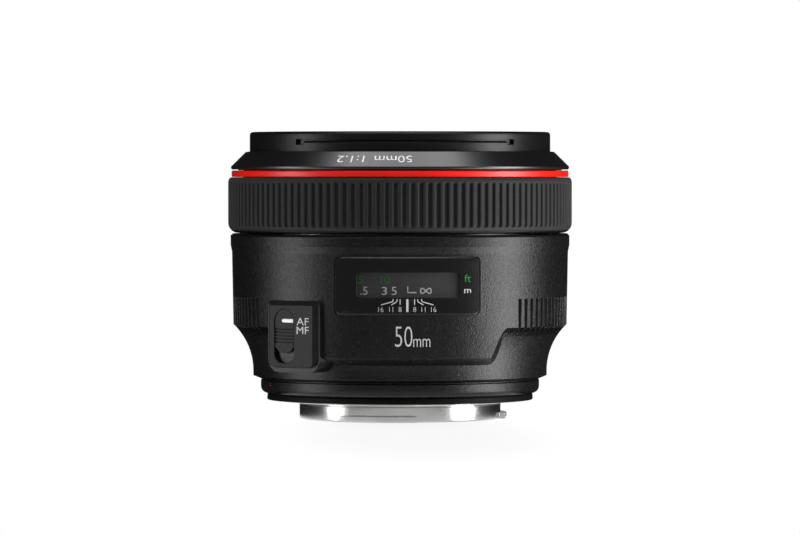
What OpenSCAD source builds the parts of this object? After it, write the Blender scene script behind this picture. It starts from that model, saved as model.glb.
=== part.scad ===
// Prime camera lens, 50 mm focal length, with a bayonet mount and a built-in ring motor.
// Millimetres, +Z toward the subject, origin at the centre of the mount flange face.
// The distance window and the focus index face -Y. Angles named _a count from there toward +X.
// Rest state: focus at infinity, aperture wide open, switch at its upper position.

/* [Main sizes] */
// Radius of the filter thread bore, the crest of a 72 mm thread
filter_r = 35.6; // [34.6:0.1:37.6]
// Height of the barrel's upper edge over the flange
barrel_top = 40.2; // [40:0.1:44]
// Height of the rubber grip
grip_h = 13.1; // [12.6:0.1:17]
// Height of the red ring
red_h = 1.6; // [1:0.05:2.5]
// Height of the bevelled name ring
name_h = 4.5; // [3:0.1:6]
// Height of the front collar above the name ring
collar_h = 4.85; // [4.6:0.05:8]
// Depth of the filter thread
thread_h = 3.9; // [2.5:0.1:4.4]

/* [Fits] */
// Gap between pieces that move past each other
run_gap = 0.3; // [0.2:0.05:0.4]
// Gap of a piece in its seat
seat_gap = 0.05; // [0.02:0.01:0.1]
// Gap of a pin in its hole or slot
pin_gap = 0.06; // [0.04:0.01:0.1]
// Layer between cemented elements
cement = 0.02; // [0.01:0.01:0.05]
// Gap of a roller over its track
roll_gap = 0.05; // [0.03:0.01:0.1]

/* [Walls] */
// Step from the filter thread in to the recess wall
thread_step = 1.1; // [0.6:0.1:1.8]
// Width of the recess floor round the lens barrel
recess_w = 3.1; // [2.8:0.1:3.4]
// Wall of the front collar outside the thread
front_wall = 1.9; // [1.3:0.1:2.6]
// Wall of the sliding lens barrel
unit_wall = 1.2; // [0.9:0.1:1.6]
// Wall of the guide barrel
guide_wall = 1.8; // [1.4:0.1:2.4]
// Wall of the cam ring
cam_wall = 1.8; // [1.4:0.1:2.4]
// Radial width of the ring motor
motor_w = 3; // [2.8:0.1:4]
// Wall of the focus ring
ring_wall = 2.3; // [1.5:0.1:2.6]
// Thickness of the rubber grip
grip_wall = 1.2; // [1.2:0.1:2]
// Wall of the main barrel at its ribs
barrel_wall = 2; // [1.4:0.1:2.4]
// Wall of the distance scale drum
drum_wall = 0.7; // [0.5:0.1:1]

/* [Mount] */
// Radius of the pilot boss in the camera throat
pilot_r = 26.9; // [26.7:0.05:27.2]
// Depth of the pilot boss under the flange
pilot_h = 1.8; // [1.4:0.1:2.2]
// Depth of the whole bayonet under the flange
mount_h = 5.9; // [5.2:0.1:6.6]
// Thickness of the bayonet lugs
lug_h = 1.5; // [1.1:0.1:1.8]
// Width of one lug in degrees
lug_arc = 48; // [40:1:56]
// Thickness of the mount flange
flange_t = 2; // [1.8:0.1:2.6]
// Width of the flange face outside the pilot
flange_w = 5.4; // [5:0.1:6.4]
// Thickness of the rear ring's plate
base_t = 2.2; // [2:0.1:3]

/* [Barrel] */
// Height of the cove's upper end
cove_top = 17.3; // [17:0.1:18.6]
// Height of the finger ribs
rib_h = 7.3; // [4:0.1:8]
// Pitch of the finger ribs in degrees
rib_pitch = 3; // [2.5:0.5:4]
// Depth of the finger grooves
rib_depth = 0.6; // [0.3:0.1:0.8]
// Lower edge of the front panel
panel_z = 8.5; // [8:0.1:10]
// Sideways reach of the front panel's lower corner
panel_w = 26.6; // [25:0.1:28]
// Half width of the window panel
window_w = 17.7; // [15:0.1:18]
// Lower edge of the window panel
window_z = 20.9; // [20.5:0.1:22]
// Height of the window panel
window_h = 14.2; // [13:0.1:14.5]
// Number of grip ribs
grip_ribs = 130; // [100:2:140]
// Depth of the grip grooves
grip_depth = 0.6; // [0.3:0.1:0.8]

/* [Switch] */
// Angle of the switch plate from the index
switch_a = -41; // [-44:1:-40]
// Width of the switch plate
switch_w = 15.7; // [14.5:0.1:16]
// Lower edge of the switch plate
switch_z = 7.9; // [7.5:0.1:8.5]
// Height of the switch plate
switch_h = 16.3; // [16:0.1:17]
// Width of the knob slot
slot_w = 6.2; // [6:0.1:7]
// Length of the knob
knob_h = 10.8; // [9:0.1:11]
// Travel of the knob
knob_travel = 2.3; // [1.8:0.1:2.5]

/* [Focus] */
// Forward travel of the optical unit
focus_travel = 7.5; // [5:0.1:7.8]
// Turn of the cam ring for that travel
cam_turn = 72; // [60:1:76]
// Radius of a cam follower
follower_r = 2; // [1.6:0.1:2.2]
// Radius of a drive roller
roller_r = 1.25; // [1.1:0.05:1.35]

/* [Aperture] */
// Swing of a blade from open to closed
blade_swing = 39.5; // [20:0.5:40]
// Turn of the aperture ring for that swing
drive_turn = 24; // [20:1:26]
// Thickness of a blade
blade_t = 0.14; // [0.1:0.01:0.15]
// Height from one blade to the next
blade_pitch = 0.22; // [0.2:0.01:0.26]
// Teeth of the motor pinion
pinion_teeth = 10; // [10:1:10]
// Tooth module of the aperture gear
gear_m = 0.32; // [0.31:0.005:0.325]

/* [Hidden] */
$fn = 128;
eps = 0.01;

// Radii from the filter thread inward to the glass
front_r = filter_r + front_wall;
recess_r = filter_r - thread_step;
guide_in = recess_r - recess_w;
unit_r = guide_in - run_gap;
unit_in = unit_r - unit_wall;
cell_r = unit_in - seat_gap;
semi_1 = unit_in - 4.4;
semi_2 = semi_1 - 3.7;
semi_3 = semi_2 - 1.3;

// Radii from the lens barrel outward to the grip
guide_out = guide_in + guide_wall;
cam_in = guide_out + run_gap;
cam_out = cam_in + cam_wall;
motor_in = cam_out + run_gap;
motor_out = motor_in + motor_w;
ring_in = motor_out + 0.8;
ring_out = ring_in + ring_wall;
grip_r = ring_out + grip_wall;
drum_r = motor_out + 0.7;
barrel_in = drum_r + 0.3;
barrel_r = barrel_in + barrel_wall;
barrel_mid_r = barrel_r + 0.35;
barrel_lip_r = barrel_r + 0.7;
tube_r = ring_in - run_gap;

// Mount radii
lug_r = pilot_r - run_gap;
collar_r = lug_r - 1.5;
throat_r = collar_r - 1.7;
baffle_r = throat_r - 0.1;
flange_r = pilot_r + flange_w;
skirt_in = flange_r + 0.6;
rear_ring_r = skirt_in + 1.85;
screw_r = (pilot_r + flange_r) / 2;
foot_screw_r = flange_r - 1.6;
foot_in = foot_screw_r - 1.2;
foot_wall = 1.6;
foot_r = max(rear_ring_r + 1.9, guide_out + 1.55 + foot_wall);
board_out = foot_in - 1.1;

// Radii of the rear glass, which passes through the mount throat
rear_r = throat_r - 2.6;
semi_4 = rear_r - 1.8;
semi_6 = semi_4 - 0.4;
index_a = -69;
index_r = 0.65;
index_depth = 1.2;
hood_arc = 87;

// Heights from the flange to the front rim
base_top = flange_t + base_t;
index_z = base_top - 1.1;
foot_top = base_top + 1.2;
guide_foot = foot_top + 1.4;
grip_z0 = barrel_top + 0.9;
grip_z1 = grip_z0 + grip_h;
red_z0 = grip_z1 + 0.1;
red_z1 = red_z0 + red_h;
name_z0 = red_z1 + 0.25;
name_z1 = name_z0 + name_h;
front_z = name_z1 + collar_h;
guide_top = grip_z1;
unit_top = guide_top + 2.8;

// Ring motor stack
felt_z = barrel_top + 1;
stator_z = felt_z + 0.6;
rotor_z = stator_z + 3.7;
roller_z = rotor_z + 1.6 + roll_gap + roller_r;
drive_z = roller_z + roller_r + roll_gap;
tube_z = drive_z + 1.5 + run_gap;
carrier_z = rotor_z + 1.1;
carrier_r = cam_out + 0.6;

// Cove between the foot and the ribs
cove_z = 6;
cove_end = barrel_r - 0.3;
cove_rad = (pow(cove_end - foot_r, 2) + pow(cove_top - cove_z, 2)) / (2 * (cove_end - foot_r));
cove_a = asin((cove_top - cove_z) / cove_rad);
cam_z = guide_foot + 4.2;

// Glass, from the front vertex back
clear_3 = semi_3 - 3.7;
clear_4 = semi_4 - 3.4;
rad_1a = curve(semi_1, 7);
rad_1b = curve(semi_1, 1.92);
rad_2a = curve(semi_2, 8.96);
rad_2b = curve(semi_2, 4.1);
rad_3b = curve(clear_3, 8.75);
rad_4a = curve(clear_4, 7.8);
rad_5b = curve(semi_4, 5.42);
rad_6 = curve(semi_6, 1.94);
rad_7 = curve(semi_6, 1.58);
rad_8a = curve(semi_6, 0.87);
rad_8b = curve(semi_6, 1.94);
edge_t = 1.5;
v_1a = unit_top - 1;
e_1a = v_1a - sag(rad_1a, semi_1);
e_1b = e_1a - edge_t;
v_1b = e_1b + sag(rad_1b, semi_1);
v_2a = v_1b - 0.5;
e_2a = v_2a - sag(rad_2a, semi_2);
e_2b = e_2a - edge_t;
v_2b = e_2b + sag(rad_2b, semi_2);
v_3a = v_2b - cement;
v_3b = v_3a - 2;
e_3b = v_3b - sag(rad_3b, clear_3);

// Aperture stack under the third element
blade_n = 8;
stop_top = e_3b - 0.2;
sector_h = 1;
ring_z1 = stop_top - sector_h - 0.3;
ring_z0 = ring_z1 - 1.2;
blade_z = ring_z0 - 0.2 - blade_n * blade_pitch;
base_z1 = blade_z - 0.2;
base_z0 = base_z1 - 1.5;
rim_in = cell_r - 0.85;
drive_r = rim_in - run_gap;
pivot_r = drive_r - 1.7;
strip_out = pivot_r - 1.4;
strip_in = semi_3 - 1.15;
pin_e = 2.2;
pin_a = -110;
pin_r = 0.4;
ring_teeth = floor(2 * (drive_r - 1.8) / gear_m);
sector_r = ring_teeth * gear_m / 2;
pinion_r = pinion_teeth * gear_m / 2;
pinion_c = sector_r - pinion_r;
motor_a = 200;
shaft_r = 0.4;

// Rear glass under the aperture
e_4a = base_z0 - 0.1;
v_4a = e_4a - sag(rad_4a, clear_4);
v_4b = v_4a - 1.6;
v_5a = v_4b - cement;
e_5b = v_5a - 2;
v_5b = e_5b - sag(rad_5b, semi_4);
v_6a = v_5b - 0.4;
e_6a = v_6a - sag(rad_6, semi_6);
e_6b = e_6a - 1.4;
v_6b = e_6b - sag(rad_6, semi_6);
v_7a = v_6b - 0.4;
e_7a = v_7a - sag(rad_7, semi_6);
v_7b = e_7a - 1.4;
e_8a = v_7b - cement;
v_8a = e_8a - sag(rad_8a, semi_6);
e_8b = e_8a - 1.25;
v_8b = e_8b - sag(rad_8b, semi_6);
rear_end = v_8b + 0.8;
ledge_r = semi_6 - 0.6;
seat_5 = v_5b + sag(rad_5b, ledge_r) - seat_gap;
seat_6 = v_6a - sag(rad_6, ledge_r) + seat_gap;

// Focus followers
follower_z = 18;
follower_angles = [60, 180, 300];
slide_w = follower_r + pin_gap;
unit_z = guide_foot + 2.2;
shoulder_z = base_z0 - 1.4;
scale_z = cam_z + 12.6;

// Switch
switch_n = barrel_r + 0.15;
face_n = switch_n + 1.1;
slot_off = -2.15;
panel_turn = 15;
slot_z0 = switch_z + 1.1;
slot_h = knob_h + knob_travel + 0.2;
stem_z = switch_z + 7.1;
board_n = switch_n - 3.05;

// Window
pane_in = barrel_in + 0.7;
pane_r = barrel_r + 0.05;
pane_gap = 0.15;

function sag(r, h) = r - sqrt(r * r - h * h);
// Radius of a face that is depth deep at its edge
function curve(edge, depth) = (edge * edge + depth * depth) / (2 * depth);
function arc(cx, cy, r, a0, a1, n) =
    [for (i = [0:n]) let (a = a0 + (a1 - a0) * i / n) [cx + r * cos(a), cy + r * sin(a)]];
function smooth(t) = t * t * (3 - 2 * t);

module tube(ro, ri, z0, z1) {
    translate([0, 0, z0])
        difference() {
            cylinder(r = ro, h = z1 - z0);
            translate([0, 0, -1])
                cylinder(r = ri, h = z1 - z0 + 2);
        }
}

module disc(r, z0, z1) {
    translate([0, 0, z0])
        cylinder(r = r, h = z1 - z0);
}

module spin(points) {
    rotate_extrude()
        polygon(points);
}

// A ring sector centred on angle a from the index
module sector(points, a, width) {
    rotate([0, 0, a - 90 - width / 2])
        rotate_extrude(angle = width)
            polygon(points);
}

module turn(a) {
    rotate([0, 0, a])
        children();
}

// Draws a flat outline facing outward at the index, from distance n0 to n1 off the axis
module facing(n0, n1) {
    translate([0, -n0, 0])
        rotate([90, 0, 0])
            linear_extrude(n1 - n0)
                children();
}

module slot_outline(w, z0, z1) {
    translate([-w, z0])
        square([2 * w, z1 - z0]);
    translate([0, z0])
        circle(r = w);
    translate([0, z1])
        circle(r = w);
}

// A rectangle with its own corner radius at the bottom and at the top
module panel_outline(w, z0, z1, rb, rt) {
    translate([-w, z0 + rb])
        square([2 * w, z1 - z0 - rb - rt]);
    translate([-w + rb, z0])
        square([2 * (w - rb), rb + eps]);
    translate([-w + rt, z1 - rt - eps])
        square([2 * (w - rt), rt + eps]);
    for (s = [-1, 1]) {
        translate([s * (w - rb), z0 + rb])
            circle(r = rb);
        translate([s * (w - rt), z1 - rt])
            circle(r = rt);
    }
}

// Screw with a flat head down at z0 and its shank up
module screw(head_r, head_h, shank_r, length) {
    difference() {
        union() {
            cylinder(r = head_r, h = head_h);
            cylinder(r = shank_r, h = length);
        }
        for (a = [0, 90])
            rotate([0, 0, a])
                translate([-head_r * 0.6, -0.2, -1])
                    cube([head_r * 1.2, 0.4, 1.45]);
    }
}

// Camera side

module bayonet_mount() {
    color("silver")
        difference() {
            union() {
                spin([
                    [throat_r, -mount_h], [collar_r - 0.3, -mount_h], [collar_r, -mount_h + 0.3],
                    [collar_r, -pilot_h - 0.45], [collar_r - 0.5, -pilot_h - 0.35], [collar_r - 0.5, -pilot_h],
                    [pilot_r - 0.25, -pilot_h], [pilot_r, -pilot_h + 0.25],
                    [pilot_r, 0], [flange_r - 0.2, 0], [flange_r, 0.2], [flange_r, flange_t],
                    [throat_r, flange_t]
                ]);
                for (a = [-18, 102, 222])
                    sector([
                        [collar_r - 0.5, -mount_h], [lug_r - 0.3, -mount_h], [lug_r, -mount_h + 0.3],
                        [lug_r, -mount_h + lug_h], [collar_r - 0.5, -mount_h + lug_h]
                    ], a, lug_arc);
            }
            for (a = [40, 130, 220, 310])
                rotate([0, 0, a])
                    translate([screw_r, 0, 0]) {
                        disc(1.05, -1, flange_t + 1);
                        disc(1.95, -1, 1.2);
                    }
            translate([-screw_r, 0, -1])
                cylinder(r = 1.6, h = 2.5);
        }
}

module mount_screws() {
    color("gainsboro")
        for (a = [40, 130, 220, 310])
            rotate([0, 0, a])
                translate([screw_r, 0, 0.15])
                    screw(1.85, 1.05, 1, base_top - 0.4);
}

module mount_seal() {
    color("dimgray")
        spin([
            [flange_r + seat_gap, -0.9], [skirt_in + 0.1, -1.15], [skirt_in + 0.3, -0.9],
            [skirt_in + 0.2, 0.2], [skirt_in - seat_gap, 0.4], [skirt_in - seat_gap, flange_t],
            [flange_r + seat_gap, flange_t]
        ]);
}

module rear_ring() {
    color("black")
        difference() {
            spin(concat(
                [[throat_r + 0.8, flange_t], [skirt_in, flange_t], [skirt_in, 0.5]],
                arc(rear_ring_r - 1.7, 2.2, 1.7, -90, 0, 6),
                [
                    [rear_ring_r, base_top - 0.5], [rear_ring_r - 0.2, base_top - 0.3],
                    [rear_ring_r - 0.4, base_top - 0.3], [rear_ring_r - 0.4, base_top],
                    [throat_r + 0.8, base_top]
                ]
            ));
            for (a = [40, 130, 220, 310])
                rotate([0, 0, a])
                    translate([screw_r, 0, 0])
                        disc(1 + seat_gap, 0, base_top - 0.1);
            chassis_holes(0.85, 1.6, 1.1);
            turn(index_a)
                translate([0, -rear_ring_r + index_depth, index_z])
                    rotate([90, 0, 0])
                        cylinder(r = index_r + seat_gap, h = 4);
            board_holes();
        }
}

module mount_index() {
    color("red")
        turn(index_a)
            intersection() {
                translate([0, -rear_ring_r + index_depth - seat_gap, index_z])
                    rotate([90, 0, 0])
                        cylinder(r = index_r, h = 4);
                translate([0, -rear_ring_r + 1.5, index_z])
                    sphere(r = 1.85);
            }
}

module contact_block() {
    color("black")
        difference() {
            sector([
                [rear_r - 1.6, -mount_h + 0.6], [baffle_r, -mount_h + 0.6], [baffle_r, base_top - 0.4],
                [rear_r + 0.6, base_top - 0.4], [rear_r + 0.6, rear_end - 0.9], [rear_r - 1.6, rear_end - 0.9]
            ], 180, 64);
            contact_row(0.75 + seat_gap, -mount_h, -mount_h + 1.6);
        }
}

module contact_pins() {
    color("gold")
        contact_row(0.75, -mount_h + 0.4, -mount_h + 1.6);
}

module contact_row(r, z0, z1) {
    for (i = [-3.5:1:3.5])
        turn(180 + i * 6.8)
            translate([0, -rear_r - 0.6, 0])
                disc(r, z0, z1);
}

module rear_baffle() {
    color("black")
        difference() {
            spin([
                [semi_6 - 0.6, -mount_h + 0.7], [baffle_r, -mount_h + 0.7], [baffle_r, base_top - 0.4],
                [rear_r + 0.5, base_top - 0.4], [rear_r + 0.5, rear_end - 1.5], [semi_6, rear_end - 1.5]
            ]);
            sector([
                [10, -mount_h], [baffle_r + 1, -mount_h], [baffle_r + 1, base_top],
                [10, base_top]
            ], 180, 64.6);
        }
}

module circuit_board() {
    color("darkgreen")
        difference() {
            union() {
                sector([
                    [throat_r - 1.4, base_top], [board_out, base_top],
                    [board_out, base_top + 1], [throat_r - 1.4, base_top + 1]
                ], 180, 290);
                for (a = [100, 150, 215, 260])
                    turn(a)
                        translate([-2, -board_out + 0.8, base_top + 1 - eps])
                            cube([4, 4, 0.9]);
            }
            board_holes();
        }
}

module board_holes() {
    for (a = [75, 180, 285])
        turn(a)
            translate([0, -throat_r - 2.2, 0])
                disc(0.8 + seat_gap, flange_t + 0.3, base_top + 2);
}

module chassis_holes(r, head_r, head_h) {
    for (a = [85, 205, 325])
        rotate([0, 0, a])
            translate([foot_screw_r, 0, 0]) {
                disc(r, flange_t - 1, guide_foot - 0.1);
                disc(head_r, flange_t - 1, flange_t + head_h);
            }
}

module chassis_screws() {
    color("gray") {
        for (a = [85, 205, 325])
            rotate([0, 0, a])
                translate([foot_screw_r, 0, flange_t + 0.1])
                    screw(1.5, 0.9, 0.8, 4);
        for (a = [75, 180, 285])
            turn(a)
                translate([0, -throat_r - 2.2, base_top + 1.9])
                    rotate([180, 0, 0])
                        screw(1.5, 0.9, 0.8, 3.4);
        for (a = [0, 120, 240])
            rotate([0, 0, a])
                translate([guide_in + 1.6, 0, guide_top + 1.2])
                    rotate([180, 0, 0])
                        screw(1.4, 0.7, 0.8, 3);
    }
}

// Fixed barrels

module guide_barrel() {
    color("dimgray")
        difference() {
            union() {
                spin([
                    [guide_in, foot_top], [guide_out, foot_top], [guide_out, guide_top - 2.7],
                    [guide_out + 1.4, guide_top - 2.7], [guide_out + 1.4, guide_top], [guide_in, guide_top]
                ]);
                tube(max(guide_in + guide_wall / 2, foot_screw_r + 1.8), min(guide_in + 0.1, foot_screw_r - 1.8),
                    foot_top, guide_foot);
            }
            for (a = follower_angles)
                turn(a)
                    facing(guide_in - 2, guide_out + 2)
                        slot_outline(slide_w, follower_z - pin_gap, follower_z + focus_travel + pin_gap);
            chassis_holes(0.8 + seat_gap, 0.4, 0.1);
            for (a = [0, 120, 240])
                rotate([0, 0, a])
                    translate([guide_in + 1.6, 0, 0])
                        disc(0.8 + seat_gap, guide_top - 2.4, guide_top + 1);
        }
}

module main_barrel() {
    color("black")
        difference() {
            union() {
                spin(barrel_outline());
                front_panel();
                turn(switch_a)
                    facing(foot_r - 4, switch_n)
                        panel_outline(switch_w / 2 + 0.25, switch_z - 1.2, switch_z + switch_h, 3.4, 1.4);
            }
            spin([
                [0, 0], [foot_in, 0], [foot_in, foot_top], [foot_r - foot_wall, foot_top],
                [foot_r - foot_wall, foot_top + 3.1], [barrel_in, cove_top + 1.7], [barrel_in, barrel_top - 1.6],
                [motor_in + 0.2, barrel_top - 1.6], [motor_in + 0.2, barrel_top + 5], [0, barrel_top + 5]
            ]);
            finger_grooves();
            intersection() {
                facing(pane_in - 4, barrel_lip_r + 2)
                    panel_outline(window_w, window_z, window_z + window_h, 1.4, 1.4);
                tube(barrel_lip_r + 4, pane_in, window_z - 2, window_z + window_h + 2);
            }
            facing(barrel_in - 6, barrel_lip_r + 2)
                panel_outline(window_w - 4.6, window_z + 3.8, window_z + window_h - 3.4, 0.8, 0.8);
            turn(switch_a) {
                facing(board_n - 3.6, board_n)
                    translate([slot_off - 4.6, stem_z - 3])
                        square([9.2, 5.6]);
                facing(board_n - 1, switch_n + 1)
                    translate([slot_off, 0])
                        slot_outline(1.2, stem_z - knob_travel, stem_z);
            }
            chassis_holes(0.85, 0.4, 0.1);
        }
}

function barrel_outline() = concat(
    [
        [foot_in - 1, base_top], [rear_ring_r + 0.2, base_top], [foot_r, base_top + 0.7]
    ],
    arc(foot_r + cove_rad, cove_z, cove_rad, 180, 180 - cove_a, 10),
    [
        [barrel_r, cove_top + 0.3], [barrel_mid_r, barrel_top - 4.5], [barrel_lip_r, barrel_top - 2.8],
        [barrel_lip_r, barrel_top - 0.5], [barrel_lip_r - 0.5, barrel_top], [foot_in - 1, barrel_top]
    ]
);

// The part of the barrel that runs down over the cove under the window. Its sides slope outward in an S.
module front_panel() {
    rise = cove_top + 0.5 - panel_z;
    panel_run = 7.2;
    edge = [for (i = [0:12]) [panel_w + panel_run * i / 12, panel_z + rise * smooth(smooth(i / 12))]];
    outline = concat([[4, panel_z]], edge, [[4, panel_z + rise]]);
    for (s = [-1, 1])
        intersection() {
            spin([
                [foot_r - 3, panel_z - 0.8], [foot_r + 0.3, panel_z], [barrel_r - 0.1, panel_z + 1.85],
                [barrel_r, cove_top + 0.3], [foot_r - 3, cove_top + 0.3]
            ]);
            turn(-s * panel_turn)
                facing(15, 50)
                    polygon([for (p = outline) [s * p[0], p[1]]]);
        }
}

module finger_grooves() {
    groove_slope = 0.8;
    for (a = [42:rib_pitch:360 - 59])
        turn(a)
            translate([0, -barrel_r, cove_top - 1.5])
                linear_extrude(rib_h + 1.5)
                    polygon([[0, rib_depth], [-groove_slope * (1 + rib_depth), -1], [groove_slope * (1 + rib_depth), -1]]);
}

module distance_window() {
    color("lightgray", 0.4)
        intersection() {
            facing(pane_in - 4, barrel_lip_r + 2)
                panel_outline(window_w - pane_gap, window_z + pane_gap, window_z + window_h - pane_gap, 1.3, 1.3);
            tube(pane_r, pane_in + seat_gap, window_z - 2, window_z + window_h + 2);
        }
}

module switch_plate() {
    half = switch_w / 2;
    z1 = switch_z + switch_h;
    color("black")
        turn(switch_a)
            difference() {
                intersection() {
                    facing(switch_n, face_n)
                        panel_outline(half, switch_z, z1, 3.2, 1.2);
                    linear_extrude(z1 + 5)
                        polygon([
                            [-half, -switch_n + 1], [-half, -switch_n], [-half + 1.1, -face_n],
                            [half - 1.1, -face_n], [half, -switch_n], [half, -switch_n + 1]
                        ]);
                    translate([-20, 0, 0])
                        rotate([90, 0, 90])
                            linear_extrude(40)
                                polygon([
                                    [-switch_n + 1, switch_z], [-switch_n - 0.8, switch_z],
                                    [-face_n, switch_z + 0.3], [-face_n, z1 - 1.1], [-switch_n, z1],
                                    [-switch_n + 1, z1]
                                ]);
                }
                facing(switch_n - 1, face_n + 1)
                    translate([slot_off, 0])
                        knob_slot(slot_w / 2, slot_z0, slot_z0 + slot_h);
            }
}

// Round at the top, with rounded corners at the bottom
module knob_slot(w, z0, z1) {
    corner = w - 0.7;
    translate([-w, z0 + corner])
        square([2 * w, z1 - z0 - w - corner]);
    translate([corner - w, z0])
        square([2 * (w - corner), corner + eps]);
    translate([0, z1 - w])
        circle(r = w);
    for (s = [-1, 1])
        translate([s * (w - corner), z0 + corner])
            circle(r = corner);
}

module switch_board() {
    color("darkgreen")
        turn(switch_a)
            facing(board_n - 0.8, board_n - seat_gap)
                translate([slot_off - 4.5, stem_z - 2.9])
                    square([9, 5.4]);
}

module mode_switch() {
    w = slot_w / 2 - 0.2;
    z1 = slot_z0 + slot_h - 0.1;
    z0 = z1 - knob_h;
    color("black")
        turn(switch_a)
            difference() {
                union() {
                    facing(switch_n + 0.12, face_n - 0.15)
                        translate([slot_off, 0])
                            knob_outline(w, z0, z1);
                    facing(board_n + 0.25, switch_n + 0.5)
                        translate([slot_off, stem_z])
                            circle(r = 1.05);
                }
                for (i = [0:4])
                    facing(face_n - 0.5, face_n + 1)
                        translate([slot_off - w - 1, z0 + 2.6 + i * 0.8])
                            square([2 * w + 2, 0.4]);
            }
}

module knob_outline(w, z0, z1) {
    translate([-w, z0 + 2])
        square([2 * w, z1 - z0 - 2 - w]);
    translate([0, z1 - w])
        circle(r = w);
    intersection() {
        translate([0, z0 + w + 0.5])
            circle(r = w + 0.5);
        translate([-w, z0])
            square([2 * w, 3]);
    }
}

module front_barrel() {
    color("black")
        difference() {
            spin(concat(
                [
                    [guide_in, guide_top], [tube_r - 2.1, guide_top], [tube_r - 2.1, tube_z],
                    [tube_r, tube_z], [tube_r, red_z1 + seat_gap], [tube_r + 1.3, red_z1 + seat_gap],
                    [tube_r + 1.3, name_z0], [front_r, name_z0]
                ],
                arc(front_r - 0.8, front_z - 0.8, 0.8, 0, 90, 5),
                [
                    [filter_r + 0.4, front_z], [filter_r, front_z - 0.4], [filter_r, front_z - thread_h],
                    [recess_r, front_z - thread_h - 0.6], [recess_r, guide_top + 1.4], [guide_in, guide_top + 1.4]
                ]
            ));
            for (a = [0, 180]) {
                sector([
                    [front_r + 0.5, front_z - 3.3], [front_r + 0.5, front_z - 2.05], [front_r - 0.7, front_z - 2.05],
                    [front_r - 0.7, front_z - 2.4], [front_r - 0.4, front_z - 2.4]
                ], a, hood_arc);
                for (s = [-0.5, 0.5])
                    sector([
                        [front_r - 0.9, front_z - 3.25], [front_r + 1, front_z - 3.25],
                        [front_r + 1, front_z - 1.9], [front_r - 0.9, front_z - 1.9]
                    ], a + s * hood_arc, 3.6);
            }
            for (a = [0, 120, 240])
                rotate([0, 0, a])
                    translate([guide_in + 1.6, 0, 0]) {
                        disc(0.8 + seat_gap, guide_top - 1, guide_top + 2);
                        disc(1.4 + seat_gap, guide_top + 0.5, guide_top + 2);
                    }
        }
}

module name_ring() {
    color("black")
        spin([
            [front_r + seat_gap, name_z0], [ring_out + 0.2, name_z0], [ring_out + 0.5, name_z0 + 0.3],
            [ring_out + 0.5, name_z0 + 0.75], [front_r + 1, name_z1 - 0.1],
            [front_r + seat_gap, name_z1]
        ]);
}

module red_ring() {
    color("red")
        spin([
            [tube_r + seat_gap, red_z0], [ring_out + 0.15, red_z0], [ring_out + 0.35, red_z0 + 0.2],
            [ring_out + 0.35, red_z1 - 0.2], [ring_out + 0.15, red_z1], [tube_r + seat_gap, red_z1]
        ]);
}

// Ring motor

module wave_spring() {
    n = 72;
    mid = (barrel_top + felt_z) / 2;
    r0 = motor_in + 0.6;
    r1 = motor_out - 0.4;
    points = [
        for (i = [0:n - 1])
            let (a = 360 * i / n, z = mid + 0.36 * sin(4 * a))
                for (p = [[r0, -0.1], [r1, -0.1], [r1, 0.1], [r0, 0.1]])
                    [p[0] * cos(a), p[0] * sin(a), z + p[1]]
    ];
    faces = [
        for (i = [0:n - 1], k = [0:3])
            let (a = 4 * i + k, b = 4 * i + (k + 1) % 4, c = (a + 4) % (4 * n), d = (b + 4) % (4 * n))
                for (f = [[a, b, c], [b, d, c]])
                    f
    ];
    color("silver")
        polyhedron(points, faces);
}

module motor_felt() {
    color("tan")
        tube(motor_out - 0.2, motor_in + 0.4, felt_z, stator_z);
}

module motor_stator() {
    color("goldenrod")
        difference() {
            tube(motor_out, motor_in, stator_z, rotor_z);
            for (i = [0:47])
                turn(i * 7.5)
                    translate([-0.35, -motor_out - 1, rotor_z - 1.5])
                        cube([0.7, motor_w + 2, 3]);
        }
}

module motor_rotor() {
    color("lightgray")
        tube(motor_out, carrier_r + run_gap, rotor_z, rotor_z + 1.6);
}

module roller_carrier() {
    color("silver") {
        tube(carrier_r, cam_in, carrier_z, carrier_z + 3);
        for (a = [90, 210, 330])
            turn(a)
                translate([0, -carrier_r + 0.5, roller_z])
                    rotate([90, 0, 0])
                        cylinder(r = 0.5, h = motor_out - carrier_r + 0.3);
    }
}

module roller(a) {
    color("white")
        turn(a)
            translate([0, -carrier_r - 0.5, roller_z])
                rotate([90, 0, 0])
                    difference() {
                        cylinder(r = roller_r, h = motor_out - carrier_r - 0.9);
                        translate([0, 0, -1])
                            cylinder(r = 0.5 + pin_gap, h = motor_w + 4);
                    }
}

module roller_1() {
    roller(90);
}

module roller_2() {
    roller(210);
}

module roller_3() {
    roller(330);
}

// Focus ring

module focus_ring() {
    color("black")
        spin([
            [ring_in, barrel_top + 0.3], [ring_out - 0.5, barrel_top + 0.3], [ring_out + 0.4, grip_z0 - 0.15],
            [ring_out + 0.4, grip_z0], [ring_out, grip_z0], [ring_out, grip_z1 - 0.1], [ring_in, grip_z1 - 0.1],
            [ring_in, drive_z + 1.5], [carrier_r + 0.5, drive_z + 1.5], [carrier_r + 0.5, drive_z],
            [ring_in, drive_z]
        ]);
}

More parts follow.
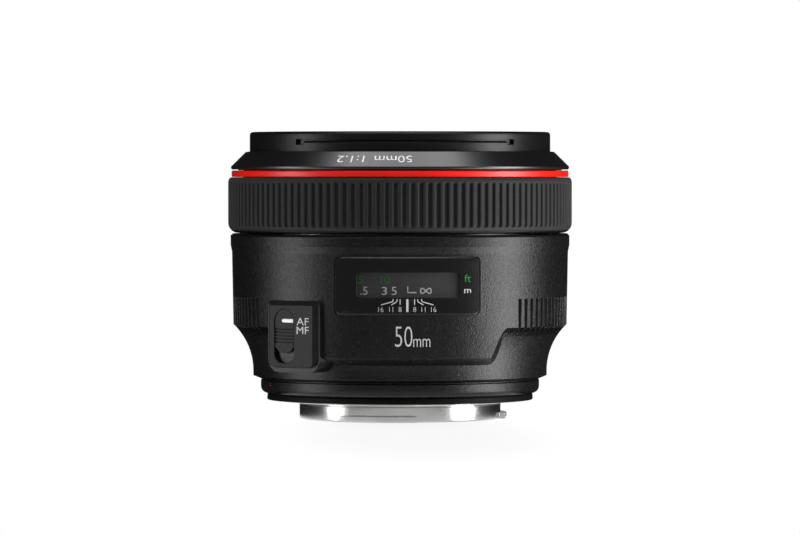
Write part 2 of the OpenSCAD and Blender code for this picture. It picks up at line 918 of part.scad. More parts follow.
module focus_grip() {
    inner = ring_out + seat_gap;
    floor_r = grip_r - grip_depth;
    rib_r = grip_r - 0.04;
    pitch = 360 / grip_ribs;
    color("dimgray") {
        translate([0, 0, grip_z0 + 1.5])
            linear_extrude(grip_h - 3.4)
                difference() {
                    polygon([
                        for (i = [0:grip_ribs - 1], p = [[floor_r, 0], [floor_r, 0.26], [rib_r, 0.37], [rib_r, 0.89]])
                            [p[0] * cos((i + p[1]) * pitch), p[0] * sin((i + p[1]) * pitch)]
                    ]);
                    circle(r = inner);
                }
        spin(concat(
            [[inner, grip_z0]],
            arc(grip_r - 0.9, grip_z0 + 0.9, 0.9, -90, 0, 5),
            [[grip_r, grip_z0 + 1.5], [inner, grip_z0 + 1.5]]
        ));
        spin(concat(
            [[inner, grip_z1 - 1.9], [grip_r, grip_z1 - 1.9]],
            arc(grip_r - 0.9, grip_z1 - 0.9, 0.9, 0, 90, 5),
            [[inner, grip_z1]]
        ));
    }
}

// Cam drive

module cam_ring() {
    color("gray")
        difference() {
            spin([
                [cam_in, cam_z], [cam_out, cam_z], [cam_out, scale_z - 2], [cam_out + 0.9, scale_z - 2],
                [cam_out + 0.9, scale_z], [cam_out, scale_z], [cam_out, carrier_z], [cam_in, carrier_z]
            ]);
            for (a = follower_angles)
                turn(a)
                    cam_slot();
        }
}

// Helical slot, one follower wide, that climbs by the focus travel over the cam turn
module cam_slot() {
    steps = 30;
    slope = atan(focus_travel / (cam_in * cam_turn * PI / 180));
    w = (follower_r + 2 * pin_gap) / cos(slope);
    r0 = cam_in - 2;
    r1 = cam_out + 2;
    points = [
        for (i = [0:steps])
            let (a = -cam_turn * i / steps, z = follower_z + focus_travel * i / steps)
                for (p = [[r0, -w], [r0, w], [r1, w], [r1, -w]])
                    [p[0] * sin(a), -p[0] * cos(a), z + p[1]]
    ];
    sides = [
        for (i = [0:steps - 1], k = [0:3])
            let (a = 4 * i + k, b = 4 * i + (k + 1) % 4, c = a + 4, d = b + 4)
                for (f = [[a, b, c], [b, d, c]])
                    f
    ];
    e = 4 * steps;
    polyhedron(points, concat(sides, [[0, 2, 1], [0, 3, 2], [e, e + 1, e + 2], [e, e + 2, e + 3]]));
    for (i = [0, 1])
        turn(-cam_turn * i)
            facing(r0, r1)
                translate([0, follower_z + focus_travel * i])
                    circle(r = follower_r + 2 * pin_gap);
}

module distance_scale() {
    color("black")
        spin([
            [cam_out + seat_gap, scale_z], [drum_r, scale_z], [drum_r, scale_z + 10],
            [drum_r - drum_wall, scale_z + 10], [drum_r - drum_wall, scale_z + 1],
            [cam_out + seat_gap, scale_z + 1]
        ]);
}

// Sliding optical unit

module lens_barrel() {
    color("dimgray")
        difference() {
            union() {
                spin([
                    [unit_in, unit_z], [unit_r, unit_z], [unit_r, unit_top - 0.3], [unit_r - 0.3, unit_top],
                    [unit_in, unit_top], [unit_in, shoulder_z], [unit_in - 1.9, shoulder_z],
                    [unit_in - 1.9, shoulder_z - 1.6], [unit_in, shoulder_z - 1.6]
                ]);
                for (a = follower_angles)
                    turn(a)
                        facing(unit_in - 2.1, unit_in + 0.4)
                            translate([0, follower_z])
                                circle(r = 3);
            }
            for (a = follower_angles)
                turn(a)
                    facing(unit_in - 4, unit_r + 2)
                        translate([0, follower_z])
                            circle(r = 1.2 + seat_gap);
        }
}

module cam_followers() {
    color("gold")
        for (a = follower_angles)
            turn(a) {
                facing(unit_in - 2.1, unit_r + 0.3)
                    translate([0, follower_z])
                        circle(r = 1.2);
                facing(unit_r + 0.2, cam_out - 0.2)
                    translate([0, follower_z])
                        circle(r = follower_r);
            }
}

module front_cell() {
    color("dimgray")
        difference() {
            spin([
                [semi_3 + seat_gap, stop_top], [cell_r, stop_top], [cell_r, stop_top + 1.4],
                [semi_2 + 0.9, stop_top + 1.4], [semi_2 + 0.9, e_1b - 4.5], [semi_1 + 1.8, e_1b - 2.2],
                [semi_1 + 1.8, e_1a + 0.5], [cell_r, e_1a + 1.8], [cell_r, unit_top - 0.4], [cell_r - 0.6, unit_top - 0.2],
                [semi_1 + 0.9, e_1a + 2.4], [semi_1 + seat_gap, e_1a + 2.2], [semi_1 + seat_gap, e_1b],
                [semi_1 - 0.8, e_1b], [semi_1 - 0.8, e_1b - 0.7], [semi_2 + seat_gap, e_1b - 3],
                [semi_2 + seat_gap, e_2b], [semi_3 + seat_gap, e_2b]
            ]);
            turn(motor_a)
                translate([0, -pinion_c, 0])
                    disc(0.8, stop_top - 1, stop_top + 3);
        }
}

module front_retainer() {
    inner = semi_1 - 0.9;
    z0 = v_1a - sag(rad_1a, inner) + seat_gap;
    color("dimgray")
        tube(semi_1, inner, z0, z0 + 1.4);
}

module second_retainer() {
    inner = semi_2 - 0.9;
    z0 = v_2a - sag(rad_2a, inner) + seat_gap;
    color("dimgray")
        tube(semi_2, inner, z0, z0 + 1.5);
}

// A lens element: vertices at front and back, radius above 0 bulges outward, below 0 is hollow, 0 is flat.
// A hollow face reaches only as far as its clear radius and ends in a flat rim.
module element(semi, front, front_r, front_clear, back, back_r, back_clear) {
    top = front_r < 0 ? front + sag(-front_r, front_clear) : front;
    bottom = back_r < 0 ? back - sag(-back_r, back_clear) : back;
    difference() {
        intersection() {
            disc(semi, bottom, top);
            if (front_r > 0)
                translate([0, 0, front - front_r])
                    sphere(r = front_r, $fn = 256);
            else
                disc(semi + 1, bottom - 1, top + 1);
            if (back_r > 0)
                translate([0, 0, back + back_r])
                    sphere(r = back_r, $fn = 256);
            else
                disc(semi + 1, bottom - 1, top + 1);
        }
        if (front_r < 0)
            translate([0, 0, front - front_r])
                sphere(r = -front_r, $fn = 256);
        if (back_r < 0)
            translate([0, 0, back + back_r])
                sphere(r = -back_r, $fn = 256);
    }
}

module element_1() {
    color("lightblue", 0.5)
        element(semi_1, v_1a, rad_1a, 0, v_1b, -rad_1b, semi_1);
}

module element_2() {
    color("lightblue", 0.5)
        element(semi_2, v_2a, rad_2a, 0, v_2b, -rad_2b, semi_2);
}

module element_3() {
    color("lightblue", 0.5)
        element(semi_3, v_3a, rad_2b, 0, v_3b, -rad_3b, clear_3);
}

module element_4() {
    color("lightblue", 0.5)
        element(semi_4, v_4a, -rad_4a, clear_4, v_4b, 0, 0);
}

module element_5() {
    color("lightblue", 0.5)
        element(semi_4, v_5a, 0, 0, v_5b, rad_5b, 0);
}

module element_6() {
    color("lightblue", 0.5)
        element(semi_6, v_6a, rad_6, 0, v_6b, rad_6, 0);
}

module element_7() {
    color("lightblue", 0.5)
        element(semi_6, v_7a, rad_7, 0, v_7b, 0, 0);
}

module element_8() {
    color("lightblue", 0.5)
        element(semi_6, v_8a, -rad_8a, semi_6, v_8b, rad_8b, 0);
}

module rear_cell() {
    color("dimgray")
        spin([
            [semi_4 + seat_gap, base_z0], [cell_r, base_z0], [cell_r, shoulder_z], [rear_r, shoulder_z],
            [rear_r, rear_end + 0.8], [rear_r - 0.8, rear_end], [semi_6 + seat_gap, rear_end],
            [semi_6 + seat_gap, seat_6], [ledge_r, seat_6], [ledge_r, seat_5], [semi_4 + seat_gap, seat_5]
        ]);
}

module rear_spacer() {
    inner = semi_6 - 0.9;
    color("dimgray")
        tube(semi_6, inner, v_7a - sag(rad_7, inner) + seat_gap, v_6b + sag(rad_6, inner) - seat_gap);
}

module rear_retainer() {
    inner = semi_6 - 1.1;
    color("dimgray")
        tube(semi_6, inner, rear_end, v_8b + sag(rad_8b, inner) - seat_gap);
}

// Aperture

module aperture_base() {
    color("dimgray")
        difference() {
            spin([
                [strip_in, base_z0], [cell_r, base_z0], [cell_r, stop_top], [rim_in, stop_top],
                [rim_in, base_z1], [strip_in, base_z1]
            ]);
            for (i = [0:blade_n - 1])
                rotate([0, 0, i * 360 / blade_n])
                    translate([pivot_r, 0, 0])
                        disc(pin_r + pin_gap, base_z0 - 1, base_z1 + 1);
        }
}

// Place of a blade's drive pin, seen from the aperture ring, at stroke t from 0 to 1
function pin_at(t) =
    let (
        a = pin_a + blade_swing * t,
        g = -drive_turn * t,
        x = pivot_r + pin_e * cos(a),
        y = pin_e * sin(a)
    )
    [x * cos(g) - y * sin(g), x * sin(g) + y * cos(g)];

// Cam slot in which one drive pin runs, with rounded ends
module pin_slot() {
    n = 14;
    w = pin_r + 2 * pin_gap;
    path = [for (i = [0:n]) pin_at(i / n)];
    heading = [
        for (i = [0:n])
            let (d = pin_at(i / n + 0.01) - pin_at(i / n - 0.01))
                atan2(d[1], d[0])
    ];
    polygon(concat(
        [for (i = [0:n]) path[i] + w * [cos(heading[i] - 90), sin(heading[i] - 90)]],
        arc(path[n][0], path[n][1], w, heading[n] - 75, heading[n] + 75, 10),
        [for (i = [n:-1:0]) path[i] + w * [cos(heading[i] + 90), sin(heading[i] + 90)]],
        arc(path[0][0], path[0][1], w, heading[0] + 105, heading[0] + 255, 10)
    ));
}

// Trapezoid tooth with its pitch line at radius r and its tip at r + tip
function tooth(r, root, tip) =
    let (h = 0.21 * PI * gear_m)
    [[r + root, -h * 1.45], [r + tip, -h * 0.6], [r + tip, h * 0.6], [r + root, h * 1.45]];

module aperture_ring() {
    color("gray") {
        difference() {
            tube(drive_r, strip_in + 0.3, ring_z0, ring_z1);
            for (i = [0:blade_n - 1])
                rotate([0, 0, i * 360 / blade_n])
                    translate([0, 0, ring_z0 - 1])
                        linear_extrude(4)
                            pin_slot();
        }
        sector([
            [sector_r + 1.25 * gear_m, ring_z1], [drive_r - 0.1, ring_z1], [drive_r - 0.1, ring_z1 + sector_h],
            [sector_r + 1.25 * gear_m, ring_z1 + sector_h]
        ], motor_a - drive_turn / 2, drive_turn + 18);
        for (i = [-3:ceil(drive_turn * ring_teeth / 360) + 3])
            rotate([0, 0, motor_a - 90 - i * 360 / ring_teeth])
                translate([0, 0, ring_z1])
                    linear_extrude(sector_h)
                        polygon(tooth(sector_r, 1.6 * gear_m, -0.8 * gear_m));
    }
}

module motor_pinion() {
    color("gold")
        turn(motor_a)
            translate([0, -pinion_c, ring_z1]) {
                disc(shaft_r, 0.15, 5);
                disc(pinion_r - 1.2 * gear_m, 0.15, sector_h);
                for (i = [0:pinion_teeth - 1])
                    rotate([0, 0, 90 + (i + 0.5) * 360 / pinion_teeth])
                        translate([0, 0, 0.15])
                            linear_extrude(sector_h - 0.15)
                                polygon(tooth(pinion_r, -1.4 * gear_m, 0.8 * gear_m));
            }
}

module aperture_motor() {
    color("silver")
        turn(motor_a)
            translate([0, -pinion_c, 0])
                difference() {
                    union() {
                        disc(2.2, stop_top + 1.4, stop_top + 9.4);
                        disc(1.2, stop_top + 9.3, stop_top + 10);
                    }
                    disc(shaft_r + pin_gap, stop_top, ring_z1 + 5.3);
                }
}

module blade(i) {
    z = blade_z + i * blade_pitch;
    color("black")
        rotate([0, 0, i * 360 / blade_n]) {
            translate([0, 0, z])
                linear_extrude(blade_t)
                    blade_outline();
            translate([pivot_r, 0, 0])
                disc(pin_r, base_z0 + 0.3, z + blade_t);
            translate(pin_at(0))
                disc(pin_r, z, ring_z1 - 0.15);
        }
}

module blade_outline() {
    pin = pin_at(0);
    intersection() {
        difference() {
            circle(r = strip_out);
            circle(r = strip_in);
        }
        polygon(concat([[0, 0]], arc(0, 0, 40, -4, 106, 11)));
    }
    translate([pivot_r, 0])
        circle(r = 1);
    translate(pin)
        circle(r = 0.8);
    polygon([
        [strip_out - 0.8, -1.4], pin + [-0.6, -0.5], pin + [0.7, -0.3], [pivot_r + 0.9, -0.4],
        [pivot_r + 0.5, 0.85], [strip_out - 0.3, 3], [strip_out - 1, 3]
    ]);
}

module blade_1() {
    blade(0);
}

module blade_2() {
    blade(1);
}

module blade_3() {
    blade(2);
}

module blade_4() {
    blade(3);
}

module blade_5() {
    blade(4);
}

module blade_6() {
    blade(5);
}

module blade_7() {
    blade(6);
}

module blade_8() {
    blade(7);
}

// Folded ribbon from the circuit board up to the optical unit
module ribbon_cable() {
    t = 0.15;
    r = rear_r + 2.4;
    fold_w = unit_in - rear_r - 5.5;
    z0 = base_top + 1;
    z1 = shoulder_z - 0.1;
    folds = 6;
    path = [for (i = [0:folds]) [r + (i % 2) * fold_w, z0 + (z1 - z0) * i / folds]];
    outer = [for (p = path) [p[0] + t, p[1]]];
    inner = [for (i = [folds:-1:0]) path[i]];
    color("orange")
        turn(120)
            translate([-3, 0, 0])
                rotate([90, 0, 90])
                    linear_extrude(6)
                        mirror([1, 0])
                            polygon(concat(outer, inner));
}

bayonet_mount();
mount_screws();
mount_seal();
rear_ring();
mount_index();
contact_block();
contact_pins();
rear_baffle();
circuit_board();
chassis_screws();
guide_barrel();
main_barrel();
distance_window();
switch_plate();
switch_board();
wave_spring();
motor_felt();
motor_stator();
motor_rotor();
front_barrel();
name_ring();
red_ring();
ribbon_cable();
mode_switch();
focus_ring();
focus_grip();
cam_ring();
distance_scale();
roller_carrier();
roller_1();
roller_2();
roller_3();
lens_barrel();
cam_followers();
front_cell();
front_retainer();
second_retainer();
element_1();
element_2();
element_3();
aperture_base();
rear_cell();
element_4();
element_5();
element_6();
element_7();
element_8();
rear_spacer();
rear_retainer();
aperture_motor();
aperture_ring();
motor_pinion();
blade_1();
blade_2();
blade_3();
blade_4();
blade_5();
blade_6();
blade_7();
blade_8();
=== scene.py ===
import math
import bmesh
import bpy
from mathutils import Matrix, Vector


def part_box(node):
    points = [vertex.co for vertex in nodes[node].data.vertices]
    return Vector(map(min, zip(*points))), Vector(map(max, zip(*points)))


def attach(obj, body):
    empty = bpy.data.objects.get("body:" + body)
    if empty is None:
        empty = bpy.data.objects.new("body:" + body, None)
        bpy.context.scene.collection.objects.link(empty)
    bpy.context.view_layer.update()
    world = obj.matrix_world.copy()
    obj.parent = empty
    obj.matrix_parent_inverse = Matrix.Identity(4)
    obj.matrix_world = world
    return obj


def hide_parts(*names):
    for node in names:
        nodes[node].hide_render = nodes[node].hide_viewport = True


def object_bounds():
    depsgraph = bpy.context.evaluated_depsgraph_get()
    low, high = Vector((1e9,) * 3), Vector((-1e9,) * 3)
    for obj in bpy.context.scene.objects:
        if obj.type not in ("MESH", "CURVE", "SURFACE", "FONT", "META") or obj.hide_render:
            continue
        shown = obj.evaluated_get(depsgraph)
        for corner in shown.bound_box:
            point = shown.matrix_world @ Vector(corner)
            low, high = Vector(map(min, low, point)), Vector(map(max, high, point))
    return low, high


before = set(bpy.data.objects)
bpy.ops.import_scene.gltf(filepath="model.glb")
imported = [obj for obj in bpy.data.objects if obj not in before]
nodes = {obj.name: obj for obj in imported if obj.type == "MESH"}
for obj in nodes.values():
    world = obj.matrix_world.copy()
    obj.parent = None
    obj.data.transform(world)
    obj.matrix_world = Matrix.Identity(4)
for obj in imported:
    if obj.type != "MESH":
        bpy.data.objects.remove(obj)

cadLow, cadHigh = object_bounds()
scene = bpy.context.scene
mm = 0.001
print("frame loaded,", len(nodes), "nodes")


# camera: a long lens level with the name ring, a little left of the index line
cameraSet = {"distance": 1.280, "azimuth": -2.7, "height": 0.0573, "aim": 0.0318,
             "lens": 230.6, "sensor": 36, "clip": 20}


def placeCamera(look):
    data = bpy.data.cameras.new("photo_camera")
    data.sensor_width = look["sensor"]
    data.lens = look["lens"]
    data.clip_end = look["clip"]
    turn, away = math.radians(look["azimuth"]), look["distance"]
    spot = Vector((away * math.sin(turn), -away * math.cos(turn), look["height"]))
    camera = bpy.data.objects.new("photo_camera", data)
    camera.location = spot
    camera.rotation_euler = (Vector((0, 0, look["aim"])) - spot).to_track_quat("-Z", "Y").to_euler()
    scene.collection.objects.link(camera)
    scene.camera = camera


placeCamera(cameraSet)
print("camera placed")


# small helpers for node trees
def addNode(tree, kind, values=None, **fields):
    node = tree.nodes.new(kind)
    for key, value in fields.items():
        setattr(node, key, value)
    for key, value in (values or {}).items():
        node.inputs[key].default_value = value
    return node


def join(tree, source, target):
    tree.links.new(source, target)


# a plain value is set on the socket, anything else is linked to it
def feed(tree, socket, value):
    if isinstance(value, (int, float, tuple)):
        socket.default_value = value
    else:
        join(tree, value, socket)


def maths(tree, operation, *terms, clamp=False):
    node = addNode(tree, "ShaderNodeMath", operation=operation, use_clamp=clamp)
    for index, value in enumerate(terms):
        feed(tree, node.inputs[index], value)
    return node.outputs[0]


def mixTone(tree, factor, first, second, blend="MIX"):
    node = addNode(tree, "ShaderNodeMix", data_type="RGBA", blend_type=blend)
    for index, value in ((0, factor), (6, first), (7, second)):  # the sockets of the colour mode
        feed(tree, node.inputs[index], value)
    return node.outputs[2]


def grey(level):
    return (level, level, level, 1)


def objectSpot(tree):
    return addNode(tree, "ShaderNodeTexCoord").outputs["Object"]


def addNoise(tree, spot, values):
    node = addNode(tree, "ShaderNodeTexNoise", values)
    join(tree, spot, node.inputs["Vector"])
    return node


# how far the surface faces up, from 1 to -1
def facingUp(tree):
    split = addNode(tree, "ShaderNodeSeparateXYZ")
    join(tree, addNode(tree, "ShaderNodeNewGeometry").outputs["Normal"], split.inputs[0])
    return split.outputs["Z"]


def newGroup(name, inputs, outputs):
    group = bpy.data.node_groups.new(name, "ShaderNodeTree")
    for label, value in inputs.items():
        kind = "NodeSocketColor" if isinstance(value, tuple) else "NodeSocketFloat"
        socket = group.interface.new_socket(label, in_out="INPUT", socket_type=kind)
        socket.default_value = value
    for label, kind in outputs.items():
        group.interface.new_socket(label, in_out="OUTPUT", socket_type="NodeSocket" + kind)
    return group, group.nodes.new("NodeGroupInput").outputs, group.nodes.new("NodeGroupOutput").inputs


# fine grain of paint, rubber or moulded plastic: two sizes of speckle over a slow mottle,
# with another gloss on what faces down; pairs are a factor and an offset
grainShape = {"coarser": 0.37, "dots": (5.0, -2.7), "mottle": (0.5, 0.75), "down": (-7.5, -4.1), "lift": 0.6}


def makeGrain(shape):
    group, given, put = newGroup(
        "fineGrain",
        {"Tone": grey(0.02), "Speck": grey(0.05), "Grain": 2600.0, "Cover": 0.4, "Rough": 0.45, "Spread": 0.2,
         "Under": 0.0},
        {"Color": "Color", "Roughness": "Float", "Height": "Float"},
    )
    spot = objectSpot(group)
    fine = addNoise(group, spot, {"Detail": 2.0, "Roughness": 0.6})
    coarse = addNoise(group, spot, {"Detail": 3.0, "Roughness": 0.55})
    slow = addNoise(group, spot, {"Scale": 70.0, "Detail": 3.0})
    join(group, given["Grain"], fine.inputs["Scale"])
    join(group, maths(group, "MULTIPLY", given["Grain"], shape["coarser"]), coarse.inputs["Scale"])
    dots = maths(group, "MULTIPLY_ADD", fine.outputs["Fac"], *shape["dots"], clamp=True)
    cover = maths(group, "MULTIPLY", dots, given["Cover"])
    tint = mixTone(group, cover, given["Tone"], given["Speck"])
    shade = maths(group, "MULTIPLY_ADD", slow.outputs["Fac"], *shape["mottle"])
    shadeTone = addNode(group, "ShaderNodeCombineColor")
    for index in range(3):
        join(group, shade, shadeTone.inputs[index])
    join(group, mixTone(group, 1.0, tint, shadeTone.outputs[0], "MULTIPLY"), put["Color"])
    drift = maths(group, "SUBTRACT", coarse.outputs["Fac"], 0.5)
    rough = maths(group, "MULTIPLY_ADD", drift, given["Spread"], given["Rough"])
    under = maths(group, "MULTIPLY_ADD", facingUp(group), *shape["down"], clamp=True)
    join(group, maths(group, "MULTIPLY_ADD", under, given["Under"], rough), put["Roughness"])
    height = maths(group, "MULTIPLY_ADD", coarse.outputs["Fac"], shape["lift"], fine.outputs["Fac"])
    join(group, height, put["Height"])
    return group


# edge wear: where the rounded normal leaves the flat one, broken up by noise
edgeShape = {"samples": 6, "gain": 9.0, "patch": (3.0, -1.1)}


def makeEdge(shape):
    group, given, put = newGroup(
        "edgeWear", {"Radius": 0.0002, "Wear": 0.5}, {"Mask": "Float", "Normal": "Vector"}
    )
    bevel = addNode(group, "ShaderNodeBevel", samples=shape["samples"])
    join(group, given["Radius"], bevel.inputs["Radius"])
    flat = addNode(group, "ShaderNodeNewGeometry").outputs["Normal"]
    dot = addNode(group, "ShaderNodeVectorMath", operation="DOT_PRODUCT")
    join(group, bevel.outputs[0], dot.inputs[0])
    join(group, flat, dot.inputs[1])
    turn = maths(group, "SUBTRACT", 1.0, dot.outputs["Value"])
    noise = addNoise(group, objectSpot(group), {"Scale": 900.0, "Detail": 4.0, "Roughness": 0.7})
    patch = maths(group, "MULTIPLY_ADD", noise.outputs["Fac"], *shape["patch"], clamp=True)
    worn = maths(group, "MULTIPLY", maths(group, "MULTIPLY", turn, shape["gain"], clamp=True), patch)
    join(group, maths(group, "MULTIPLY", worn, given["Wear"]), put["Mask"])
    join(group, bevel.outputs[0], put["Normal"])
    return group


# dust that settles on what faces up, with a little on the walls
dustShape = {"upward": (0.8, 0.2), "spots": (4.0, -2.1)}
dustTone = (0.32, 0.30, 0.27, 1)


def makeDust(shape):
    group, given, put = newGroup("settledDust", {"Amount": 0.1}, {"Mask": "Float"})
    upward = maths(group, "MULTIPLY_ADD", facingUp(group), *shape["upward"], clamp=True)
    spot = objectSpot(group)
    motes = addNoise(group, spot, {"Scale": 1500.0, "Detail": 3.0, "Roughness": 0.75})
    drift = addNoise(group, spot, {"Scale": 45.0, "Detail": 2.0})
    spots = maths(group, "MULTIPLY_ADD", motes.outputs["Fac"], *shape["spots"], clamp=True)
    lay = maths(group, "MULTIPLY", spots, drift.outputs["Fac"])
    join(group, maths(group, "MULTIPLY", maths(group, "MULTIPLY", lay, upward), given["Amount"]), put["Mask"])
    return group


# turning marks left by a lathe: rings about the optical axis, on flats and on walls
def makeTurned():
    group, given, put = newGroup(
        "turnedMarks",
        {"Lines": 9000.0, "Rough": 0.25, "Spread": 0.2},
        {"Height": "Float", "Roughness": "Float"},
    )
    split = addNode(group, "ShaderNodeSeparateXYZ")
    join(group, objectSpot(group), split.inputs[0])
    squares = maths(
        group, "ADD",
        maths(group, "MULTIPLY", split.outputs["X"], split.outputs["X"]),
        maths(group, "MULTIPLY", split.outputs["Y"], split.outputs["Y"]),
    )
    along = maths(group, "ADD", maths(group, "SQRT", squares), split.outputs["Z"])
    lines = addNode(group, "ShaderNodeTexNoise", {"Scale": 1.0, "Detail": 2.0}, noise_dimensions="1D")
    join(group, maths(group, "MULTIPLY", along, given["Lines"]), lines.inputs["W"])
    join(group, lines.outputs["Fac"], put["Height"])
    drift = maths(group, "SUBTRACT", lines.outputs["Fac"], 0.5)
    join(group, maths(group, "MULTIPLY_ADD", drift, given["Spread"], given["Rough"]), put["Roughness"])
    return group


grainGroup = makeGrain(grainShape)
edgeGroup = makeEdge(edgeShape)
dustGroup = makeDust(dustShape)
turnedGroup = makeTurned()


def newSurface(name):
    material = bpy.data.materials.new(name)
    material.use_nodes = True
    tree = material.node_tree
    tree.nodes.clear()
    out = tree.nodes.new("ShaderNodeOutputMaterial")
    shader = tree.nodes.new("ShaderNodeBsdfPrincipled")
    join(tree, shader.outputs[0], out.inputs["Surface"])
    return material, tree, shader


def placeGroup(tree, group, values):
    return addNode(tree, "ShaderNodeGroup", values, node_tree=group)


# another shader in place of the main one, by a factor
def swapShader(tree, factor, shader, other):
    swap = addNode(tree, "ShaderNodeMixShader")
    join(tree, factor, swap.inputs[0])
    join(tree, shader.outputs[0], swap.inputs[1])
    join(tree, other.outputs[0], swap.inputs[2])
    join(tree, swap.outputs[0], tree.nodes["Material Output"].inputs["Surface"])


# light from the lamps passes through to what lies behind
def letThrough(tree, shader, tone):
    clear = addNode(tree, "ShaderNodeBsdfTransparent", {"Color": tone})
    swapShader(tree, addNode(tree, "ShaderNodeLightPath").outputs["Is Shadow Ray"], shader, clear)


# height and rounded edge as one normal
def bumpOver(tree, shader, look, height, edge):
    bump = addNode(tree, "ShaderNodeBump", {"Strength": look["bump"], "Distance": look["depth"]})
    join(tree, height, bump.inputs["Height"])
    join(tree, edge.outputs["Normal"], bump.inputs["Normal"])
    join(tree, bump.outputs[0], shader.inputs["Normal"])


def setSockets(shader, values):
    for key, value in values.items():
        shader.inputs[key].default_value = value


# paint, rubber, moulded plastic and ink
def coatedFinish(name, look):
    material, tree, shader = newSurface(name)
    grain = placeGroup(tree, grainGroup, {
        "Tone": look["tone"], "Speck": look["speck"], "Grain": look["grain"],
        "Cover": look["cover"], "Rough": look["rough"], "Spread": look["spread"], "Under": look["under"],
    })
    edge = placeGroup(tree, edgeGroup, {"Radius": look["round"], "Wear": look["wear"]})
    dust = placeGroup(tree, dustGroup, {"Amount": look["dust"]})
    worn = mixTone(tree, edge.outputs["Mask"], grain.outputs["Color"], look["worn"])
    join(tree, mixTone(tree, dust.outputs["Mask"], worn, dustTone), shader.inputs["Base Color"])
    join(tree, grain.outputs["Roughness"], shader.inputs["Roughness"])
    bumpOver(tree, shader, look, grain.outputs["Height"], edge)
    setSockets(shader, {"Specular IOR Level": look["gloss"], "Coat Weight": look["coat"],
                        "Coat Roughness": look["coatRough"], "Sheen Weight": look["sheen"]})
    if "through" in look:
        letThrough(tree, shader, look["through"])
    return material


# turned and plated metal
def metalFinish(name, look):
    material, tree, shader = newSurface(name)
    turned = placeGroup(tree, turnedGroup, {
        "Lines": look["lines"], "Rough": look["rough"], "Spread": look["spread"],
    })
    grain = placeGroup(tree, grainGroup, {
        "Tone": look["tone"], "Speck": look["speck"], "Grain": look["grain"], "Cover": look["cover"],
    })
    edge = placeGroup(tree, edgeGroup, {"Radius": look["round"], "Wear": look["wear"]})
    worn = mixTone(tree, edge.outputs["Mask"], grain.outputs["Color"], look["worn"])
    join(tree, worn, shader.inputs["Base Color"])
    join(tree, turned.outputs["Roughness"], shader.inputs["Roughness"])
    bumpOver(tree, shader, look, turned.outputs["Height"], edge)
    setSockets(shader, {"Metallic": look["metal"]})
    return material


# clear pane and coated optical glass
def glassFinish(name, look):
    material, tree, shader = newSurface(name)
    setSockets(shader, {"Base Color": look["tone"], "Transmission Weight": 1.0, "IOR": look["index"],
                        "Specular Tint": look["tint"]})
    dust = placeGroup(tree, dustGroup, {"Amount": look["dust"]})
    join(tree, maths(tree, "ADD", dust.outputs["Mask"], look["rough"]), shader.inputs["Roughness"])
    letThrough(tree, shader, look["through"])
    return material


blackPaint = {
    "tone": grey(0.002), "speck": grey(0.022), "grain": 2600.0, "cover": 0.8, "rough": 0.34, "spread": 0.20,
    "bump": 0.8, "depth": 0.00010, "round": 0.00018, "wear": 0.08, "worn": grey(0.03), "dust": 0.02,
    "gloss": 0.29, "under": -0.2, "coat": 0.0, "coatRough": 0.1, "sheen": 0.0,
}
satinBlack = dict(
    blackPaint, tone=grey(0.003), speck=grey(0.006), grain=4200.0, cover=0.3, rough=0.36, spread=0.10,
    bump=0.10, depth=0.00003, gloss=0.22, under=0.0,
)
nameBlack = dict(satinBlack, rough=0.30, gloss=0.66)
maskBlack = dict(
    satinBlack, tone=grey(0.002), speck=grey(0.003), rough=0.22, spread=0.02, bump=0.02, wear=0.0, dust=0.0,
    gloss=0.5, through=grey(0.9),
)
plasticBlack = dict(
    blackPaint, tone=grey(0.005), speck=grey(0.012), grain=3300.0, cover=0.4, rough=0.46, bump=0.5,
    depth=0.00005, worn=grey(0.06), gloss=0.19, under=0.0,
)
gripRubber = dict(
    blackPaint, tone=grey(0.0075), speck=grey(0.012), grain=3000.0, cover=0.5, rough=0.66, spread=0.15,
    bump=0.25, depth=0.00004, round=0.00012, wear=0.1, worn=grey(0.10), dust=0.06, gloss=0.25, under=0.0,
    sheen=0.03,
)
sealRubber = dict(
    gripRubber, tone=grey(0.0015), speck=grey(0.003), rough=0.55, dust=0.02, gloss=0.10, sheen=0.0,
)
innerBlack = dict(satinBlack, tone=grey(0.008), speck=grey(0.012), rough=0.62, gloss=0.3)
scaleBlack = dict(satinBlack, tone=grey(0.019), speck=grey(0.024), rough=0.6)
redPaint = dict(
    satinBlack, tone=(0.68, 0.008, 0.003, 1), speck=(0.72, 0.012, 0.005, 1), rough=0.34,
    worn=(0.75, 0.08, 0.05, 1), gloss=0.35,
)
# a darker copy of the red paint: on the mount index it is painted shade, as that bead sits in shadow; the
# infrared mark is printed in it as well
redShadedAndDark = dict(
    redPaint, tone=(0.05, 0.005, 0.004, 1), speck=(0.06, 0.006, 0.005, 1), worn=(0.07, 0.012, 0.010, 1),
    gloss=0.15,
)
whiteInk = dict(satinBlack, tone=grey(0.82), speck=grey(0.86), rough=0.5, worn=grey(0.8), dust=0.0)
fieldInk = dict(whiteInk, tone=grey(0.56), speck=grey(0.60), worn=grey(0.6))
# the drum's white metre figures, inked darker as painted shade for the drum that lies behind the window
whiteInkShaded = dict(whiteInk, tone=grey(0.34), speck=grey(0.38), worn=grey(0.38))
greenInk = dict(
    whiteInk, tone=(0.010, 0.17, 0.022, 1), speck=(0.015, 0.22, 0.03, 1), worn=(0.015, 0.22, 0.03, 1),
)
# the drum's green feet figures, inked darker than the green print outside as painted shade behind the window
greenShaded = dict(
    whiteInk, tone=(0.002, 0.095, 0.004, 1), speck=(0.003, 0.11, 0.006, 1), worn=(0.003, 0.11, 0.006, 1),
)
boardGreen = dict(plasticBlack, tone=(0.012, 0.10, 0.035, 1), speck=(0.02, 0.14, 0.05, 1), coat=0.3)
feltGrey = dict(
    gripRubber, tone=(0.10, 0.12, 0.10, 1), speck=(0.16, 0.18, 0.16, 1), rough=0.9, bump=0.6, sheen=0.3,
)
ribbonAmber = dict(plasticBlack, tone=(0.30, 0.10, 0.012, 1), speck=(0.38, 0.14, 0.02, 1), rough=0.25)
